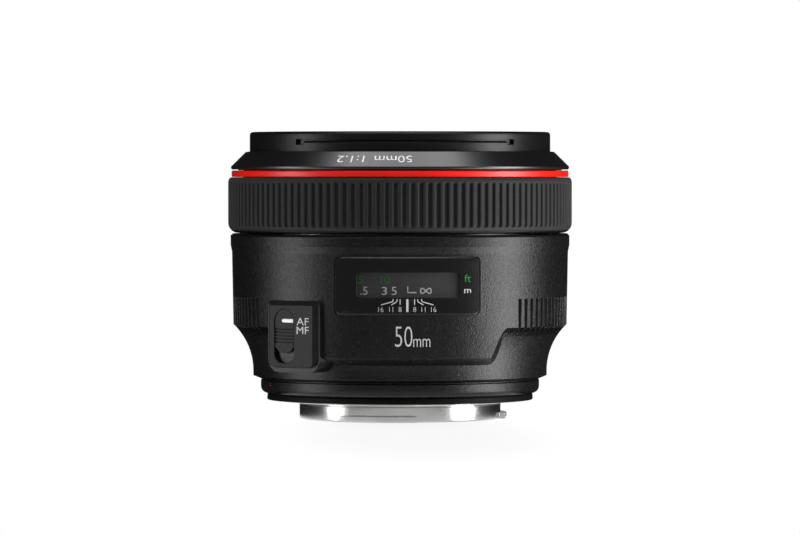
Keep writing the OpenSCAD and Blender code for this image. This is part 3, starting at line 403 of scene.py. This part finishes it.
rollerWhite = dict(plasticBlack, tone=grey(0.62), speck=grey(0.68), rough=0.4, worn=grey(0.7))
chrome = {
    "tone": (0.56, 0.555, 0.545, 1), "speck": (0.62, 0.615, 0.605, 1), "grain": 1800.0, "cover": 0.25,
    "lines": 9000.0, "rough": 0.22, "spread": 0.14, "bump": 0.18, "depth": 0.00002, "round": 0.00015,
    "wear": 0.3, "worn": (0.82, 0.80, 0.78, 1), "metal": 1.0,
}
screwSteel = dict(chrome, tone=(0.42, 0.41, 0.40, 1), speck=(0.5, 0.49, 0.48, 1), rough=0.28)
contactGold = dict(
    chrome, tone=(0.83, 0.58, 0.22, 1), speck=(0.88, 0.64, 0.28, 1), rough=0.22, worn=(0.9, 0.7, 0.35, 1),
)
motorBrass = dict(chrome, tone=(0.50, 0.34, 0.14, 1), speck=(0.58, 0.42, 0.2, 1), rough=0.35)
rotorMetal = dict(chrome, tone=(0.30, 0.29, 0.28, 1), speck=(0.36, 0.35, 0.34, 1), rough=0.38)
camMetal = dict(chrome, tone=(0.20, 0.20, 0.21, 1), speck=(0.26, 0.26, 0.27, 1), rough=0.36)
springSteel = dict(chrome, tone=(0.50, 0.50, 0.51, 1), speck=(0.56, 0.56, 0.57, 1), rough=0.24)
bladeBlack = dict(
    chrome, tone=grey(0.030), speck=grey(0.045), lines=4000.0, rough=0.46, worn=grey(0.12), metal=0.6,
)
windowClear = {
    "tone": grey(0.93), "index": 1.49, "tint": grey(0.5), "rough": 0.0, "dust": 0.012, "through": grey(0.9),
}
coatMagenta = {
    "tone": (0.97, 0.98, 0.97, 1), "index": 1.60, "tint": (0.62, 0.34, 0.80, 1), "rough": 0.0, "dust": 0.02,
    "through": grey(0.95),
}
coatGreen = dict(coatMagenta, tint=(0.30, 0.72, 0.52, 1), index=1.66)
coatAmber = dict(coatMagenta, tint=(0.85, 0.58, 0.25, 1), index=1.70)

finishes = {
    "paint": coatedFinish("paint_black", blackPaint),
    "satin": coatedFinish("satin_black", satinBlack),
    "name": coatedFinish("name_black", nameBlack),
    "mask": coatedFinish("mask_black", maskBlack),
    "plastic": coatedFinish("plastic_black", plasticBlack),
    "grip": coatedFinish("grip_rubber", gripRubber),
    "seal": coatedFinish("seal_rubber", sealRubber),
    "inner": coatedFinish("inner_black", innerBlack),
    "scale": coatedFinish("scale_black", scaleBlack),
    "red": coatedFinish("red_paint", redPaint),
    "redShadedAndDark": coatedFinish("red_shaded_and_dark", redShadedAndDark),
    "white": coatedFinish("white_ink", whiteInk),
    "field": coatedFinish("field_ink", fieldInk),
    "grey": coatedFinish("white_ink_shaded", whiteInkShaded),
    "green": coatedFinish("green_ink", greenInk),
    "greenShaded": coatedFinish("green_shaded", greenShaded),
    "board": coatedFinish("board_green", boardGreen),
    "felt": coatedFinish("felt_grey", feltGrey),
    "ribbon": coatedFinish("ribbon_amber", ribbonAmber),
    "roller": coatedFinish("roller_white", rollerWhite),
    "chrome": metalFinish("mount_chrome", chrome),
    "steel": metalFinish("screw_steel", screwSteel),
    "gold": metalFinish("contact_gold", contactGold),
    "brass": metalFinish("motor_brass", motorBrass),
    "rotor": metalFinish("rotor_metal", rotorMetal),
    "cam": metalFinish("cam_metal", camMetal),
    "spring": metalFinish("spring_steel", springSteel),
    "blade": metalFinish("blade_black", bladeBlack),
    "pane": glassFinish("window_clear", windowClear),
    "magenta": glassFinish("glass_magenta", coatMagenta),
    "emerald": glassFinish("glass_green", coatGreen),
    "amber": glassFinish("glass_amber", coatAmber),
}
print("finishes made,", len(finishes))

wears = {
    "paint": ["main_barrel", "rear_ring"],
    "satin": ["front_barrel", "focus_ring"],
    "name": ["name_ring"],
    "plastic": ["switch_plate", "mode_switch", "contact_block"],
    "seal": ["mount_seal"],
    "inner": ["rear_baffle", "guide_barrel", "lens_barrel", "front_cell", "front_retainer", "second_retainer",
              "aperture_base", "rear_cell", "rear_spacer", "rear_retainer", "aperture_motor"],
    "scale": ["distance_scale"],
    "red": ["red_ring"],
    # the mount index bead wears the darker red as painted shade
    "redShadedAndDark": ["mount_index"],
    "grip": ["focus_grip"],
    "board": ["circuit_board", "switch_board"],
    "felt": ["motor_felt"],
    "ribbon": ["ribbon_cable"],
    "roller": ["roller_1", "roller_2", "roller_3"],
    "chrome": ["bayonet_mount"],
    "steel": ["mount_screws", "chassis_screws", "cam_followers"],
    "gold": ["contact_pins", "motor_pinion"],
    "brass": ["motor_stator"],
    "rotor": ["motor_rotor", "roller_carrier"],
    "cam": ["cam_ring", "aperture_ring"],
    "spring": ["wave_spring"],
    "blade": ["blade_%d" % index for index in range(1, 9)],
    "pane": ["distance_window"],
    "magenta": ["element_1", "element_4", "element_7"],
    "emerald": ["element_2", "element_5", "element_8"],
    "amber": ["element_3", "element_6"],
}


def dress(obj, finish):
    obj.data.materials.clear()
    obj.data.materials.append(finishes[finish])


for finish, names in wears.items():
    for name in names:
        dress(nodes[name], finish)
left = set(nodes) - {name for names in wears.values() for name in names}
print("solids dressed, left over:", sorted(left))


# meshes from points and faces
pieceSet = {"weld": 1e-7, "sharp": 40, "flat": 0.3}


def newPiece(name, points, faces, finish, body, smooth=True):
    mesh = bpy.data.meshes.new(name)
    mesh.from_pydata(points, [], faces)
    build = bmesh.new()
    build.from_mesh(mesh)
    bmesh.ops.remove_doubles(build, verts=build.verts, dist=pieceSet["weld"])
    bmesh.ops.recalc_face_normals(build, faces=build.faces)
    build.to_mesh(mesh)
    build.free()
    mesh.validate()
    if smooth:
        mesh.polygons.foreach_set("use_smooth", [True] * len(mesh.polygons))
        mesh.set_sharp_from_angle(angle=math.radians(pieceSet["sharp"]))
    piece = bpy.data.objects.new(name, mesh)
    scene.collection.objects.link(piece)
    mesh.materials.append(finishes[finish])
    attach(piece, body)
    return piece


# smooth round the barrel, flat on the edges that look up or down
def smoothRound(piece):
    for face in piece.data.polygons:
        face.use_smooth = abs(face.normal.z) < pieceSet["flat"]


def onRound(radius, angle, height):
    return (radius * math.sin(angle), -radius * math.cos(angle), height)


# quads between each ring of points and the next
def bandFaces(rings, count, closed=False):
    faces = []
    for ring in range(rings if closed else rings - 1):
        here, up = ring * count, (ring + 1) % rings * count
        for index in range(count):
            after = (index + 1) % count
            faces.append((here + index, here + after, up + after, up + index))
    return faces


# focus grip: closed rubber band, 130 rounded ribs that follow its rounded edges
gripLow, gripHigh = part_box("focus_grip")
gripBand = {
    "ribs": 130, "steps": 12, "depth": 0.55 * mm, "rise": 0.18, "floor": 0.26, "crown": 0.05 * mm,
    "inside": 1.15 * mm, "lowRound": (1.05 * mm, 2.0 * mm), "highRound": (0.75 * mm, 1.4 * mm), "arcSteps": 8,
    "lowRim": 0.85 * mm, "highRim": 1.0 * mm, "end": 0.6 * mm, "endSteps": 4,
    "between": (0.3, 0.45, 0.6, 0.75),
}


def ease(value):
    value = min(max(value, 0.0), 1.0)
    return value * value * (3 - 2 * value)


def buildGrip(look):
    outer, low, high = gripHigh.x, gripLow.z, gripHigh.z
    lowRim, highRim, end = low + look["lowRim"], high - look["highRim"], look["end"]
    (lowIn, lowTall), (highIn, highTall) = look["lowRound"], look["highRound"]
    arcSteps, endSteps = look["arcSteps"], look["endSteps"]
    arcs = [1 - math.cos(math.radians(90 * index / arcSteps)) for index in range(arcSteps + 1)]
    ends = [end * index / endSteps for index in range(endSteps + 1)]
    heights = [low + lowTall * arc for arc in arcs] + [lowRim + step for step in ends]
    heights += [low + (high - low) * share for share in look["between"]]
    heights += [highRim - step for step in ends] + [high - highTall * arc for arc in arcs]
    rows = []  # radius at the rib tops, height and how deep the groove is there
    for height in sorted(set(heights)):
        below = max(0.0, 1 - (height - low) / lowTall)
        above = max(0.0, 1 - (high - height) / highTall)
        lowCut = lowIn * (1 - math.sqrt(1 - below * below))
        highCut = highIn * (1 - math.sqrt(1 - above * above))
        rows.append((outer - lowCut - highCut, height, ease(min(height - lowRim, highRim - height) / end)))
    columns, half = look["ribs"] * look["steps"], look["floor"] / 2
    turns = [2 * math.pi * column / columns for column in range(columns)]
    points = []
    for radius, height, depth in rows:
        for column, turn in enumerate(turns):
            away = abs((column % look["steps"]) / look["steps"] - 0.5)  # from the middle of the groove
            sink = 1 - ease((away - half) / look["rise"])
            crown = look["crown"] * (1 - math.cos((0.5 - away) * 2 * math.pi)) * depth / 2
            points.append(onRound(radius - look["depth"] * depth * sink - crown * (1 - sink), turn, height))
    for height in (high, low):
        points += [onRound(outer - look["inside"], turn, height) for turn in turns]
    faces = bandFaces(len(rows) + 2, columns, closed=True)
    grip = newPiece("focus_grip_ribbed", points, faces, "grip", "focus_ring")
    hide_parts("focus_grip")


buildGrip(gripBand)
print("grip built")


# front thread for filters: one helical ridge standing off the plain bore
filterThread = {
    "radius": 35.62 * mm, "pitch": 0.75 * mm, "tall": 0.34 * mm, "low": 61.9 * mm, "high": 64.7 * mm,
    "perTurn": 160, "base": 0.46, "crest": 0.12, "fade": 12, "least": 0.05,
}


def buildThread(look):
    radius, base = look["radius"], look["pitch"] * look["base"]
    crest = base * look["crest"]
    steps = int((look["high"] - look["low"]) / look["pitch"] * look["perTurn"])
    points = []
    for step in range(steps + 1):
        angle = 2 * math.pi * step / look["perTurn"]
        height = look["low"] + look["pitch"] * step / look["perTurn"]
        fade = min(1.0, step / look["fade"], (steps - step) / look["fade"])
        top = radius - look["tall"] * (look["least"] + (1 - look["least"]) * fade)
        for reach, rise in ((radius, -base), (top, -crest), (top, crest), (radius, base)):
            points.append(onRound(reach, angle, height + rise))
    faces = bandFaces(steps + 1, 4)
    faces += [(3, 2, 1, 0), tuple(steps * 4 + corner for corner in range(4))]
    newPiece("filter_thread_ridge", points, faces, "satin", "barrel", smooth=False)


buildThread(filterThread)
print("thread cut")


# printing: letters and strokes laid flat, then wrapped on the surface that carries them
inkHeight = 0.018 * mm
signWidths = {".": 0.30, ":": 0.30, "1": 0.55}  # in widths of a digit
signGap = 0.16


def textWidth(text, digit):
    return digit * (sum(signWidths.get(sign, 1.0) for sign in text) + signGap * (len(text) - 1))


# thin takes that share of the letter size off each side of a stroke
def letters(text, wide, tall, middle, thin=0.0):
    curve = bpy.data.curves.new("letters", "FONT")
    curve.body = text
    curve.extrude = 0.5
    curve.resolution_u = 6
    curve.offset = -thin
    holder = bpy.data.objects.new("letters", curve)
    scene.collection.objects.link(holder)
    bpy.context.view_layer.update()
    mesh = bpy.data.meshes.new_from_object(holder.evaluated_get(bpy.context.evaluated_depsgraph_get()))
    xs = [v.co.x for v in mesh.vertices]
    ys = [v.co.y for v in mesh.vertices]
    spanX, spanY = max(xs) - min(xs), max(ys) - min(ys)
    points = [
        (
            middle[0] + ((v.co.x - min(xs)) / spanX - 0.5) * wide,
            middle[1] + ((v.co.y - min(ys)) / spanY - 0.5) * tall,
            v.co.z * 2 * inkHeight,
        )
        for v in mesh.vertices
    ]
    faces = [tuple(p.vertices) for p in mesh.polygons]
    bpy.data.objects.remove(holder)
    bpy.data.curves.remove(curve)
    bpy.data.meshes.remove(mesh)
    return points, faces


# a line of even width through flat points, as a thin closed strip
def stroke(path, width, closed=False):
    count = len(path)
    points, faces = [], []
    for index, here in enumerate(path):
        before = path[(index - 1) % count] if closed or index else here
        after = path[(index + 1) % count] if closed or index < count - 1 else here
        way = Vector((after[0] - before[0], after[1] - before[1])).normalized()
        off = Vector((-way.y, way.x)) * width / 2
        for side in (1, -1):
            for height in (inkHeight, -inkHeight):
                points.append((here[0] + side * off.x, here[1] + side * off.y, height))
    for index in range(count if closed else count - 1):
        a, b = index * 4, ((index + 1) % count) * 4
        faces += [(a, a + 2, b + 2, b), (a + 1, b + 1, b + 3, a + 3)]
        faces += [(a, b, b + 1, a + 1), (a + 2, a + 3, b + 3, b + 2)]
    if not closed:
        end = (count - 1) * 4
        faces += [(0, 1, 3, 2), (end, end + 2, end + 3, end + 1)]
    return points, faces


def gather(parts):
    points, faces = [], []
    for somePoints, someFaces in parts:
        base = len(points)
        points += somePoints
        faces += [tuple(base + index for index in face) for face in someFaces]
    return points, faces


def printRound(name, parts, radius, finish, body):
    flat, faces = gather(parts)
    points = [onRound(radius + p[2], p[0] / radius, p[1]) for p in flat]
    newPiece(name, points, faces, finish, body, smooth=False)


# distance scale on the drum, in metres and feet, spaced as the focusing travel needs
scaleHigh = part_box("distance_scale")[1]
distancePrint = {
    "radius": scaleHigh.x, "metreRow": 26.8 * mm, "footRow": 29.5 * mm, "tall": 1.95 * mm,
    "digit": 1.22 * mm, "footDigit": 1.3664 * mm, "nudge": (0.1 * mm, 0.2 * mm),
    "metres": [("0.45", 0.45), ("0.5", 0.5), ("0.6", 0.6), ("0.7", 0.7), ("0.8", 0.8), ("1", 1.0),
               ("1", 1.385), (".5", 1.65), ("3", 3.0), ("5", 5.0)],  # 1.5 is set wide, in two strikes
    "feet": ["1.5", "1.7", "2", "2.5", "3", "5", "10"], "foot": 0.3048,
    "turn": math.radians(72), "travel": 7.5, "travelAtMetre": 2.5, "planeShift": 0.105, "infinity": 6.37,
    "hookDrop": 0.4 * mm, "hook": (2.05 * mm, 1.45 * mm), "hookLine": 0.28 * mm,
    "loop": (1.28 * mm, 0.62 * mm), "loopLine": 0.27 * mm, "loopSteps": 48,
}


def scaleAngle(metres, look):
    return -look["turn"] * (look["travelAtMetre"] / (metres - look["planeShift"])) / look["travel"]


def buildDistancePrint(look):
    radius, tall = look["radius"], look["tall"]
    metreNudge, footNudge = look["nudge"]
    white, green = [], []
    for text, metres in look["metres"]:
        middle = (scaleAngle(metres, look) * radius + metreNudge, look["metreRow"])
        white.append(letters(text, textWidth(text, look["digit"]), tall, middle))
    for text in look["feet"]:
        middle = (scaleAngle(float(text) * look["foot"], look) * radius + footNudge, look["footRow"])
        green.append(letters(text, textWidth(text, look["footDigit"]), tall, middle))
    hookWide, hookTall = look["hook"]
    corner = look["metreRow"] - look["hookDrop"]
    white.append(stroke([(0, corner + hookTall), (0, corner), (hookWide, corner)], look["hookLine"]))
    centre, (wide, high) = math.radians(look["infinity"]) * radius, look["loop"]
    turns = [2 * math.pi * index / look["loopSteps"] for index in range(look["loopSteps"])]
    loop = [(centre + wide * math.sin(turn), look["metreRow"] + high * math.sin(2 * turn)) for turn in turns]
    white.append(stroke(loop, look["loopLine"], closed=True))
    # the drum's white and green figures take the darker inks, as painted shade behind the window
    printRound("distance_metres", white, radius, "grey", "focus_drive")
    printRound("distance_feet", green, radius, "greenShaded", "focus_drive")


buildDistancePrint(distancePrint)
print("distance scale printed")


# window: clear pane with eased edges, in loops from the back round to the front,
# which stands 0.25 mm proud of the solid
paneLow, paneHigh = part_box("distance_window")
windowPane = {
    "halfWide": paneHigh.x, "low": paneLow.z, "high": paneHigh.z, "corner": 1.3 * mm, "inner": 40.36 * mm,
    "outer": 0.25 * mm - paneLow.y, "ease": 0.1 * mm, "easeTall": 0.2 * mm,
    "insets": (0.8 * mm, 1.5 * mm, 3.0 * mm, 5.0 * mm),
}
windowMask = {
    "skin": 0.012 * mm, "thick": 0.01 * mm, "openWide": 12.55 * mm, "openMiddle": 0.15 * mm,
    "openLow": 25.15 * mm, "openHigh": 31.25 * mm, "openCorner": 0.9 * mm, "rings": 4,
}


def roundedLoop(half, low, high, corner, sideSteps=44, cornerSteps=6):
    loop = []
    centres = [(half - corner, high - corner), (-half + corner, high - corner),
               (-half + corner, low + corner), (half - corner, low + corner)]
    for index, (x, z) in enumerate(centres):
        for step in range(cornerSteps + 1):
            turn = math.radians(90 * index + 90 * step / cornerSteps)
            loop.append((x + corner * math.cos(turn), z + corner * math.sin(turn)))
        nextX, nextZ = centres[(index + 1) % 4]
        turn = math.radians(90 * (index + 1))
        endX, endZ = nextX + corner * math.cos(turn), nextZ + corner * math.sin(turn)
        fromX, fromZ = loop[-1]
        for step in range(1, sideSteps):
            share = step / sideSteps
            loop.append((fromX + (endX - fromX) * share, fromZ + (endZ - fromZ) * share))
    return loop


# a flat loop laid on the round of the barrel
def bendLoop(loop, radius):
    return [(x, -math.sqrt(radius * radius - x * x), z) for x, z in loop]


# black print over the front of the pane and its eased edges, open over the drum
def buildMask(look, pane):
    skin, easeWide, easeTall = look["skin"], pane["ease"], pane["easeTall"]
    half, low, high, corner = pane["halfWide"], pane["low"], pane["high"], pane["corner"]
    edge = roundedLoop(half + skin, low - skin, high + skin, corner)
    outside = roundedLoop(half - easeWide / 2, low + easeTall, high - easeTall, corner - easeTall)
    inside = roundedLoop(look["openWide"], look["openLow"], look["openHigh"], look["openCorner"])
    inside = [(x + look["openMiddle"], z) for x, z in inside]
    loops = [(pane["outer"] - easeWide, edge)]
    for ring in range(look["rings"] + 1):
        share = ring / look["rings"]
        between = [(ax + (bx - ax) * share, az + (bz - az) * share)
                   for (ax, az), (bx, bz) in zip(outside, inside)]
        loops.append((pane["outer"] + skin, between))
    points = []
    for sink in (0.0, look["thick"]):
        for radius, loop in loops:
            points += bendLoop(loop, radius - sink)
    count = len(edge)
    back = len(loops) * count
    last = back - count
    faces = bandFaces(len(loops), count)
    faces += [tuple(back + index for index in reversed(face)) for face in faces]
    for index in range(count):
        after = (index + 1) % count
        faces.append((index, back + index, back + after, after))
        faces.append((last + index, last + after, back + last + after, back + last + index))
    smoothRound(newPiece("window_mask", points, faces, "mask", "barrel"))


def buildPane(look):
    half, low, high, inner, outer = (look[key] for key in ("halfWide", "low", "high", "inner", "outer"))
    insets = list(look["insets"]) + [(high - low) / 2]
    loops = [(inner, inset, inset) for inset in reversed(insets)]
    loops += [(inner, 0.0, 0.0), (outer - look["ease"], 0.0, 0.0)]
    loops.append((outer, look["ease"] / 2, look["easeTall"]))
    loops += [(outer, inset, inset) for inset in insets]
    points = []
    for radius, across, up in loops:
        loop = roundedLoop(half - across, low + up, high - up, max(look["corner"] - up, 0.0))
        points += bendLoop(loop, radius)
    faces = bandFaces(len(loops), len(loop))
    pane = newPiece("distance_window_pane", points, faces, "pane", "barrel")
    smoothRound(pane)
    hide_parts("distance_window")


buildMask(windowMask, windowPane)
buildPane(windowPane)

# depth of field marks under the opening, and the units beside it; a stop gives its number
# and the angles of its line's start, bend and end
fieldPrint = {
    "radius": windowPane["outer"] + windowMask["skin"], "middle": -0.2 * mm, "top": 24.85 * mm,
    "line": 0.22 * mm, "straight": 1.35 * mm, "bend": 0.6 * mm, "slope": 0.82 * mm, "slopeSteps": 8,
    "indexFoot": 21.75 * mm, "indexLine": 0.54 * mm,
    "stops": [("8", 2.4, 2.4, 2.4), ("11", 3.4, 3.45, 5.35), ("16", 4.7, 4.85, 8.75)],
    "numberRow": 22.35 * mm, "tall": 1.22 * mm, "digit": 0.74 * mm, "thin": 0.011,
    "unitAngle": 20.6, "metre": (1.78 * mm, 0.98 * mm), "metreRow": 26.75 * mm,
    "foot": (1.8 * mm, 1.8 * mm), "footRow": 29.85 * mm,
    "dotAngle": 1.3, "dotRow": 24.55 * mm, "dotRadius": 0.17 * mm, "dotLine": 0.16 * mm, "dotSteps": 10,
}


def buildFieldPrint(look):
    radius, top = look["radius"], look["top"]

    def along(degrees):
        return look["middle"] + math.radians(degrees) * radius

    white = [stroke([(along(0), top), (along(0), look["indexFoot"])], look["indexLine"])]
    for text, first, bend, last in look["stops"]:
        for side in (-1, 1):
            path = [(along(side * first), top)]
            if first == last:
                path.append((along(side * last), top - look["straight"]))
            else:
                for step in range(look["slopeSteps"] + 1):
                    share = step / look["slopeSteps"]
                    across = along(side * (bend + (last - bend) * share))
                    path.append((across, top - look["bend"] - look["slope"] * share))
            white.append(stroke(path, look["line"]))
            middle = (along(side * last), look["numberRow"])
            white.append(letters(text, textWidth(text, look["digit"]), look["tall"], middle, look["thin"]))
    unit = along(look["unitAngle"])
    white.append(letters("m", *look["metre"], (unit, look["metreRow"])))
    green = [letters("ft", *look["foot"], (unit, look["footRow"]))]
    centre, reach = along(look["dotAngle"]), look["dotRadius"]
    turns = [2 * math.pi * step / look["dotSteps"] for step in range(look["dotSteps"])]
    ring = [(centre + reach * math.cos(turn), look["dotRow"] + reach * math.sin(turn)) for turn in turns]
    red = [stroke(ring, look["dotLine"], closed=True)]
    printRound("field_marks", white, radius, "field", "barrel")
    printRound("feet_mark", green, radius, "green", "barrel")
    printRound("infrared_mark", red, radius, "redShadedAndDark", "barrel")


buildFieldPrint(fieldPrint)
print("window printed")

# focal length on the barrel, below the window: text, width, height, middle and thinning
focalPrint = {
    "radius": 41.61 * mm, "low": 13.3 * mm,
    "words": [("50", 4.2 * mm, 4.95 * mm, -1.07 * mm, 0.012), ("mm", 4.15 * mm, 1.95 * mm, 3.33 * mm, 0.007)],
}


def buildFocalPrint(look):
    parts = [letters(text, wide, tall, (middle, look["low"] + tall / 2), thin)
             for text, wide, tall, middle, thin in look["words"]]
    printRound("focal_length", parts, look["radius"], "field", "barrel")


buildFocalPrint(focalPrint)

# switch lettering on the flat plate, and the white line on the knob, round at its left end
switchPrint = {
    "angle": -41.0, "face": 42.85 * mm, "letters": (3.8 * mm, 1.8 * mm), "across": 3.72 * mm,
    "words": [("AF", 19.25 * mm), ("MF", 17.1 * mm)],
    "knobFace": 42.70 * mm, "mark": (3.5 * mm, 0.86 * mm), "markMiddle": (-1.2 * mm, 19.35 * mm),
    "endSteps": 12, "endFill": 0.99,
}


def layOnPlate(part, angle, face):
    turn = math.radians(angle)
    side = Vector((math.cos(turn), math.sin(turn), 0))
    out = Vector((math.sin(turn), -math.cos(turn), 0))
    points, faces = part
    return [tuple(side * p[0] + out * (face + p[2]) + Vector((0, 0, p[1]))) for p in points], faces


def buildSwitchPrint(look):
    parts = [letters(text, *look["letters"], (look["across"], row)) for text, row in look["words"]]
    points, faces = layOnPlate(gather(parts), look["angle"], look["face"])
    newPiece("switch_letters", points, faces, "field", "barrel", smooth=False)
    (wide, tall), (middle, row) = look["mark"], look["markMiddle"]
    half = tall / 2
    start = middle - wide / 2 + half
    turns = [math.radians(90 + 180 * step / look["endSteps"]) for step in range(look["endSteps"] + 1)]
    end = [(start + half / 2 * math.cos(turn), row + half / 2 * math.sin(turn)) for turn in turns]
    line = [(start, row), (middle + wide / 2, row)]
    mark = gather([stroke(line, tall), stroke(end, half * look["endFill"])])
    points, faces = layOnPlate(mark, look["angle"], look["knobFace"])
    newPiece("switch_line", points, faces, "white", "mode_switch", smooth=False)


buildSwitchPrint(switchPrint)

# plain size numbers on the bevel of the name ring, to be read from the front
bevelPrint = {
    "lowR": 42.2 * mm, "lowZ": 56.9 * mm, "highR": 38.5 * mm, "highZ": 60.55 * mm, "tall": 2.3 * mm,
    "words": [("50mm", 9.2 * mm, -5.0), ("1:1.2", 6.9 * mm, -20.0), ("72mm", 8.6 * mm, 180.0)],
}


def buildBevelPrint(look):
    run, rise = look["lowR"] - look["highR"], look["highZ"] - look["lowZ"]
    slant = math.hypot(run, rise)
    middleR, middleZ = (look["lowR"] + look["highR"]) / 2, (look["lowZ"] + look["highZ"]) / 2
    parts = []
    for text, wide, degrees in look["words"]:
        points, faces = letters(text, wide, look["tall"], (0, 0))
        placed = []
        for x, y, h in points:
            down = y / slant  # the tops of the letters point down and out
            radius = middleR + run * down + h * rise / slant
            height = middleZ - rise * down + h * run / slant
            placed.append(onRound(radius, math.radians(degrees) - x / middleR, height))
        parts.append((placed, faces))
    points, faces = gather(parts)
    newPiece("size_numbers", points, faces, "white", "barrel", smooth=False)


buildBevelPrint(bevelPrint)
print("numbers printed")


# pale floor: an oval that keeps the soft shadow near the object and runs out to plain white
floorSet = {
    "half": (0.041, 0.14), "middle": -0.088, "height": cadLow.z, "sides": 96,
    "tone": grey(0.66), "rough": 0.9, "near": 0.30, "far": 0.90, "show": 0.84,
}


def buildFloor(look):
    mesh = bpy.data.meshes.new("studio_floor")
    count = look["sides"]
    turns = [2 * math.pi * index / count for index in range(count)]
    points = [(0, 0, 0)] + [(math.cos(turn), math.sin(turn), 0) for turn in turns]
    mesh.from_pydata(points, [], [(0, index + 1, (index + 1) % count + 1) for index in range(count)])
    material, tree, shader = newSurface("floor_pale")
    setSockets(shader, {"Base Color": look["tone"], "Roughness": look["rough"], "Specular IOR Level": 0.0})
    glow = addNode(tree, "ShaderNodeEmission", {"Color": grey(1.0), "Strength": 1.0})
    rays = addNode(tree, "ShaderNodeLightPath").outputs
    seen = maths(tree, "ADD", rays["Is Camera Ray"], rays["Is Transmission Ray"])
    seen = maths(tree, "ADD", seen, rays["Is Glossy Ray"], clamp=True)
    away = addNode(tree, "ShaderNodeVectorMath", operation="LENGTH")
    join(tree, objectSpot(tree), away.inputs[0])
    fade = addNode(tree, "ShaderNodeMapRange", {
        "From Min": look["near"], "From Max": look["far"], "To Min": look["show"], "To Max": 1.0,
    }, interpolation_type="SMOOTHSTEP")
    join(tree, away.outputs["Value"], fade.inputs["Value"])
    swapShader(tree, maths(tree, "MULTIPLY", seen, fade.outputs["Result"]), shader, glow)
    mesh.materials.append(material)
    floor = bpy.data.objects.new("studio_floor", mesh)
    floor.location = (0, look["middle"], look["height"])
    floor.scale = (look["half"][0], look["half"][1], 1)
    scene.collection.objects.link(floor)


buildFloor(floorSet)

# tall soft boxes low at the left and right, one above the front rim, one high in front
lampAim = Vector((0, 0, 0.03))
lamps = [
    {"name": "left_box", "azimuth": -81, "rise": -24, "away": 1.1, "size": (0.42, 1.9), "power": 13.6},
    {"name": "right_box", "azimuth": 74, "rise": -24, "away": 1.1, "size": (0.58, 1.9), "power": 38.0},
    {"name": "top_box", "azimuth": 178, "rise": 84, "away": 1.2, "size": (0.94, 0.38), "power": 6.5},
    {"name": "front_box", "azimuth": -3, "rise": 52, "away": 1.2, "size": (2.2, 0.3), "power": 10.0},
]


def placeLamp(look):
    data = bpy.data.lights.new(look["name"], "AREA")
    data.shape = "RECTANGLE"
    data.size, data.size_y = look["size"]
    data.energy = look["power"]
    turn, rise = math.radians(look["azimuth"]), math.radians(look["rise"])
    way = Vector((math.cos(rise) * math.sin(turn), -math.cos(rise) * math.cos(turn), math.sin(rise)))
    lamp = bpy.data.objects.new(look["name"], data)
    lamp.location = way * look["away"] + lampAim
    lamp.rotation_euler = (-way).to_track_quat("-Z", "Y").to_euler()
    scene.collection.objects.link(lamp)


for lamp in lamps:
    placeLamp(lamp)

# room: white behind for the camera, dim at the back of the object, brighter in front of it
roomSet = {"front": 0.18, "back": 0.012, "change": (-4.0, 0.1), "patch": 0.995}


def buildRoom(look):
    world = bpy.data.worlds.new("studio")
    scene.world = world
    world.use_nodes = True
    tree = world.node_tree
    tree.nodes.clear()
    out = addNode(tree, "ShaderNodeOutputWorld")
    sky = addNode(tree, "ShaderNodeBackground", {"Color": grey(1.0)})
    rays = addNode(tree, "ShaderNodeLightPath").outputs
    split = addNode(tree, "ShaderNodeSeparateXYZ")
    join(tree, addNode(tree, "ShaderNodeTexCoord").outputs["Generated"], split.inputs[0])
    depth = split.outputs["Y"]
    front = maths(tree, "MULTIPLY_ADD", depth, *look["change"], clamp=True)
    level = maths(tree, "MULTIPLY_ADD", front, look["front"] - look["back"], look["back"])
    behind = maths(tree, "GREATER_THAN", depth, look["patch"])
    bright = maths(tree, "ADD", rays["Is Glossy Ray"], rays["Is Transmission Ray"], clamp=True)
    shown = maths(tree, "MAXIMUM", maths(tree, "MULTIPLY", bright, behind), rays["Is Camera Ray"])
    join(tree, maths(tree, "MAXIMUM", level, shown), sky.inputs["Strength"])
    join(tree, sky.outputs[0], out.inputs["Surface"])


buildRoom(roomSet)
scene.view_settings.view_transform = "Standard"
print("studio lit")
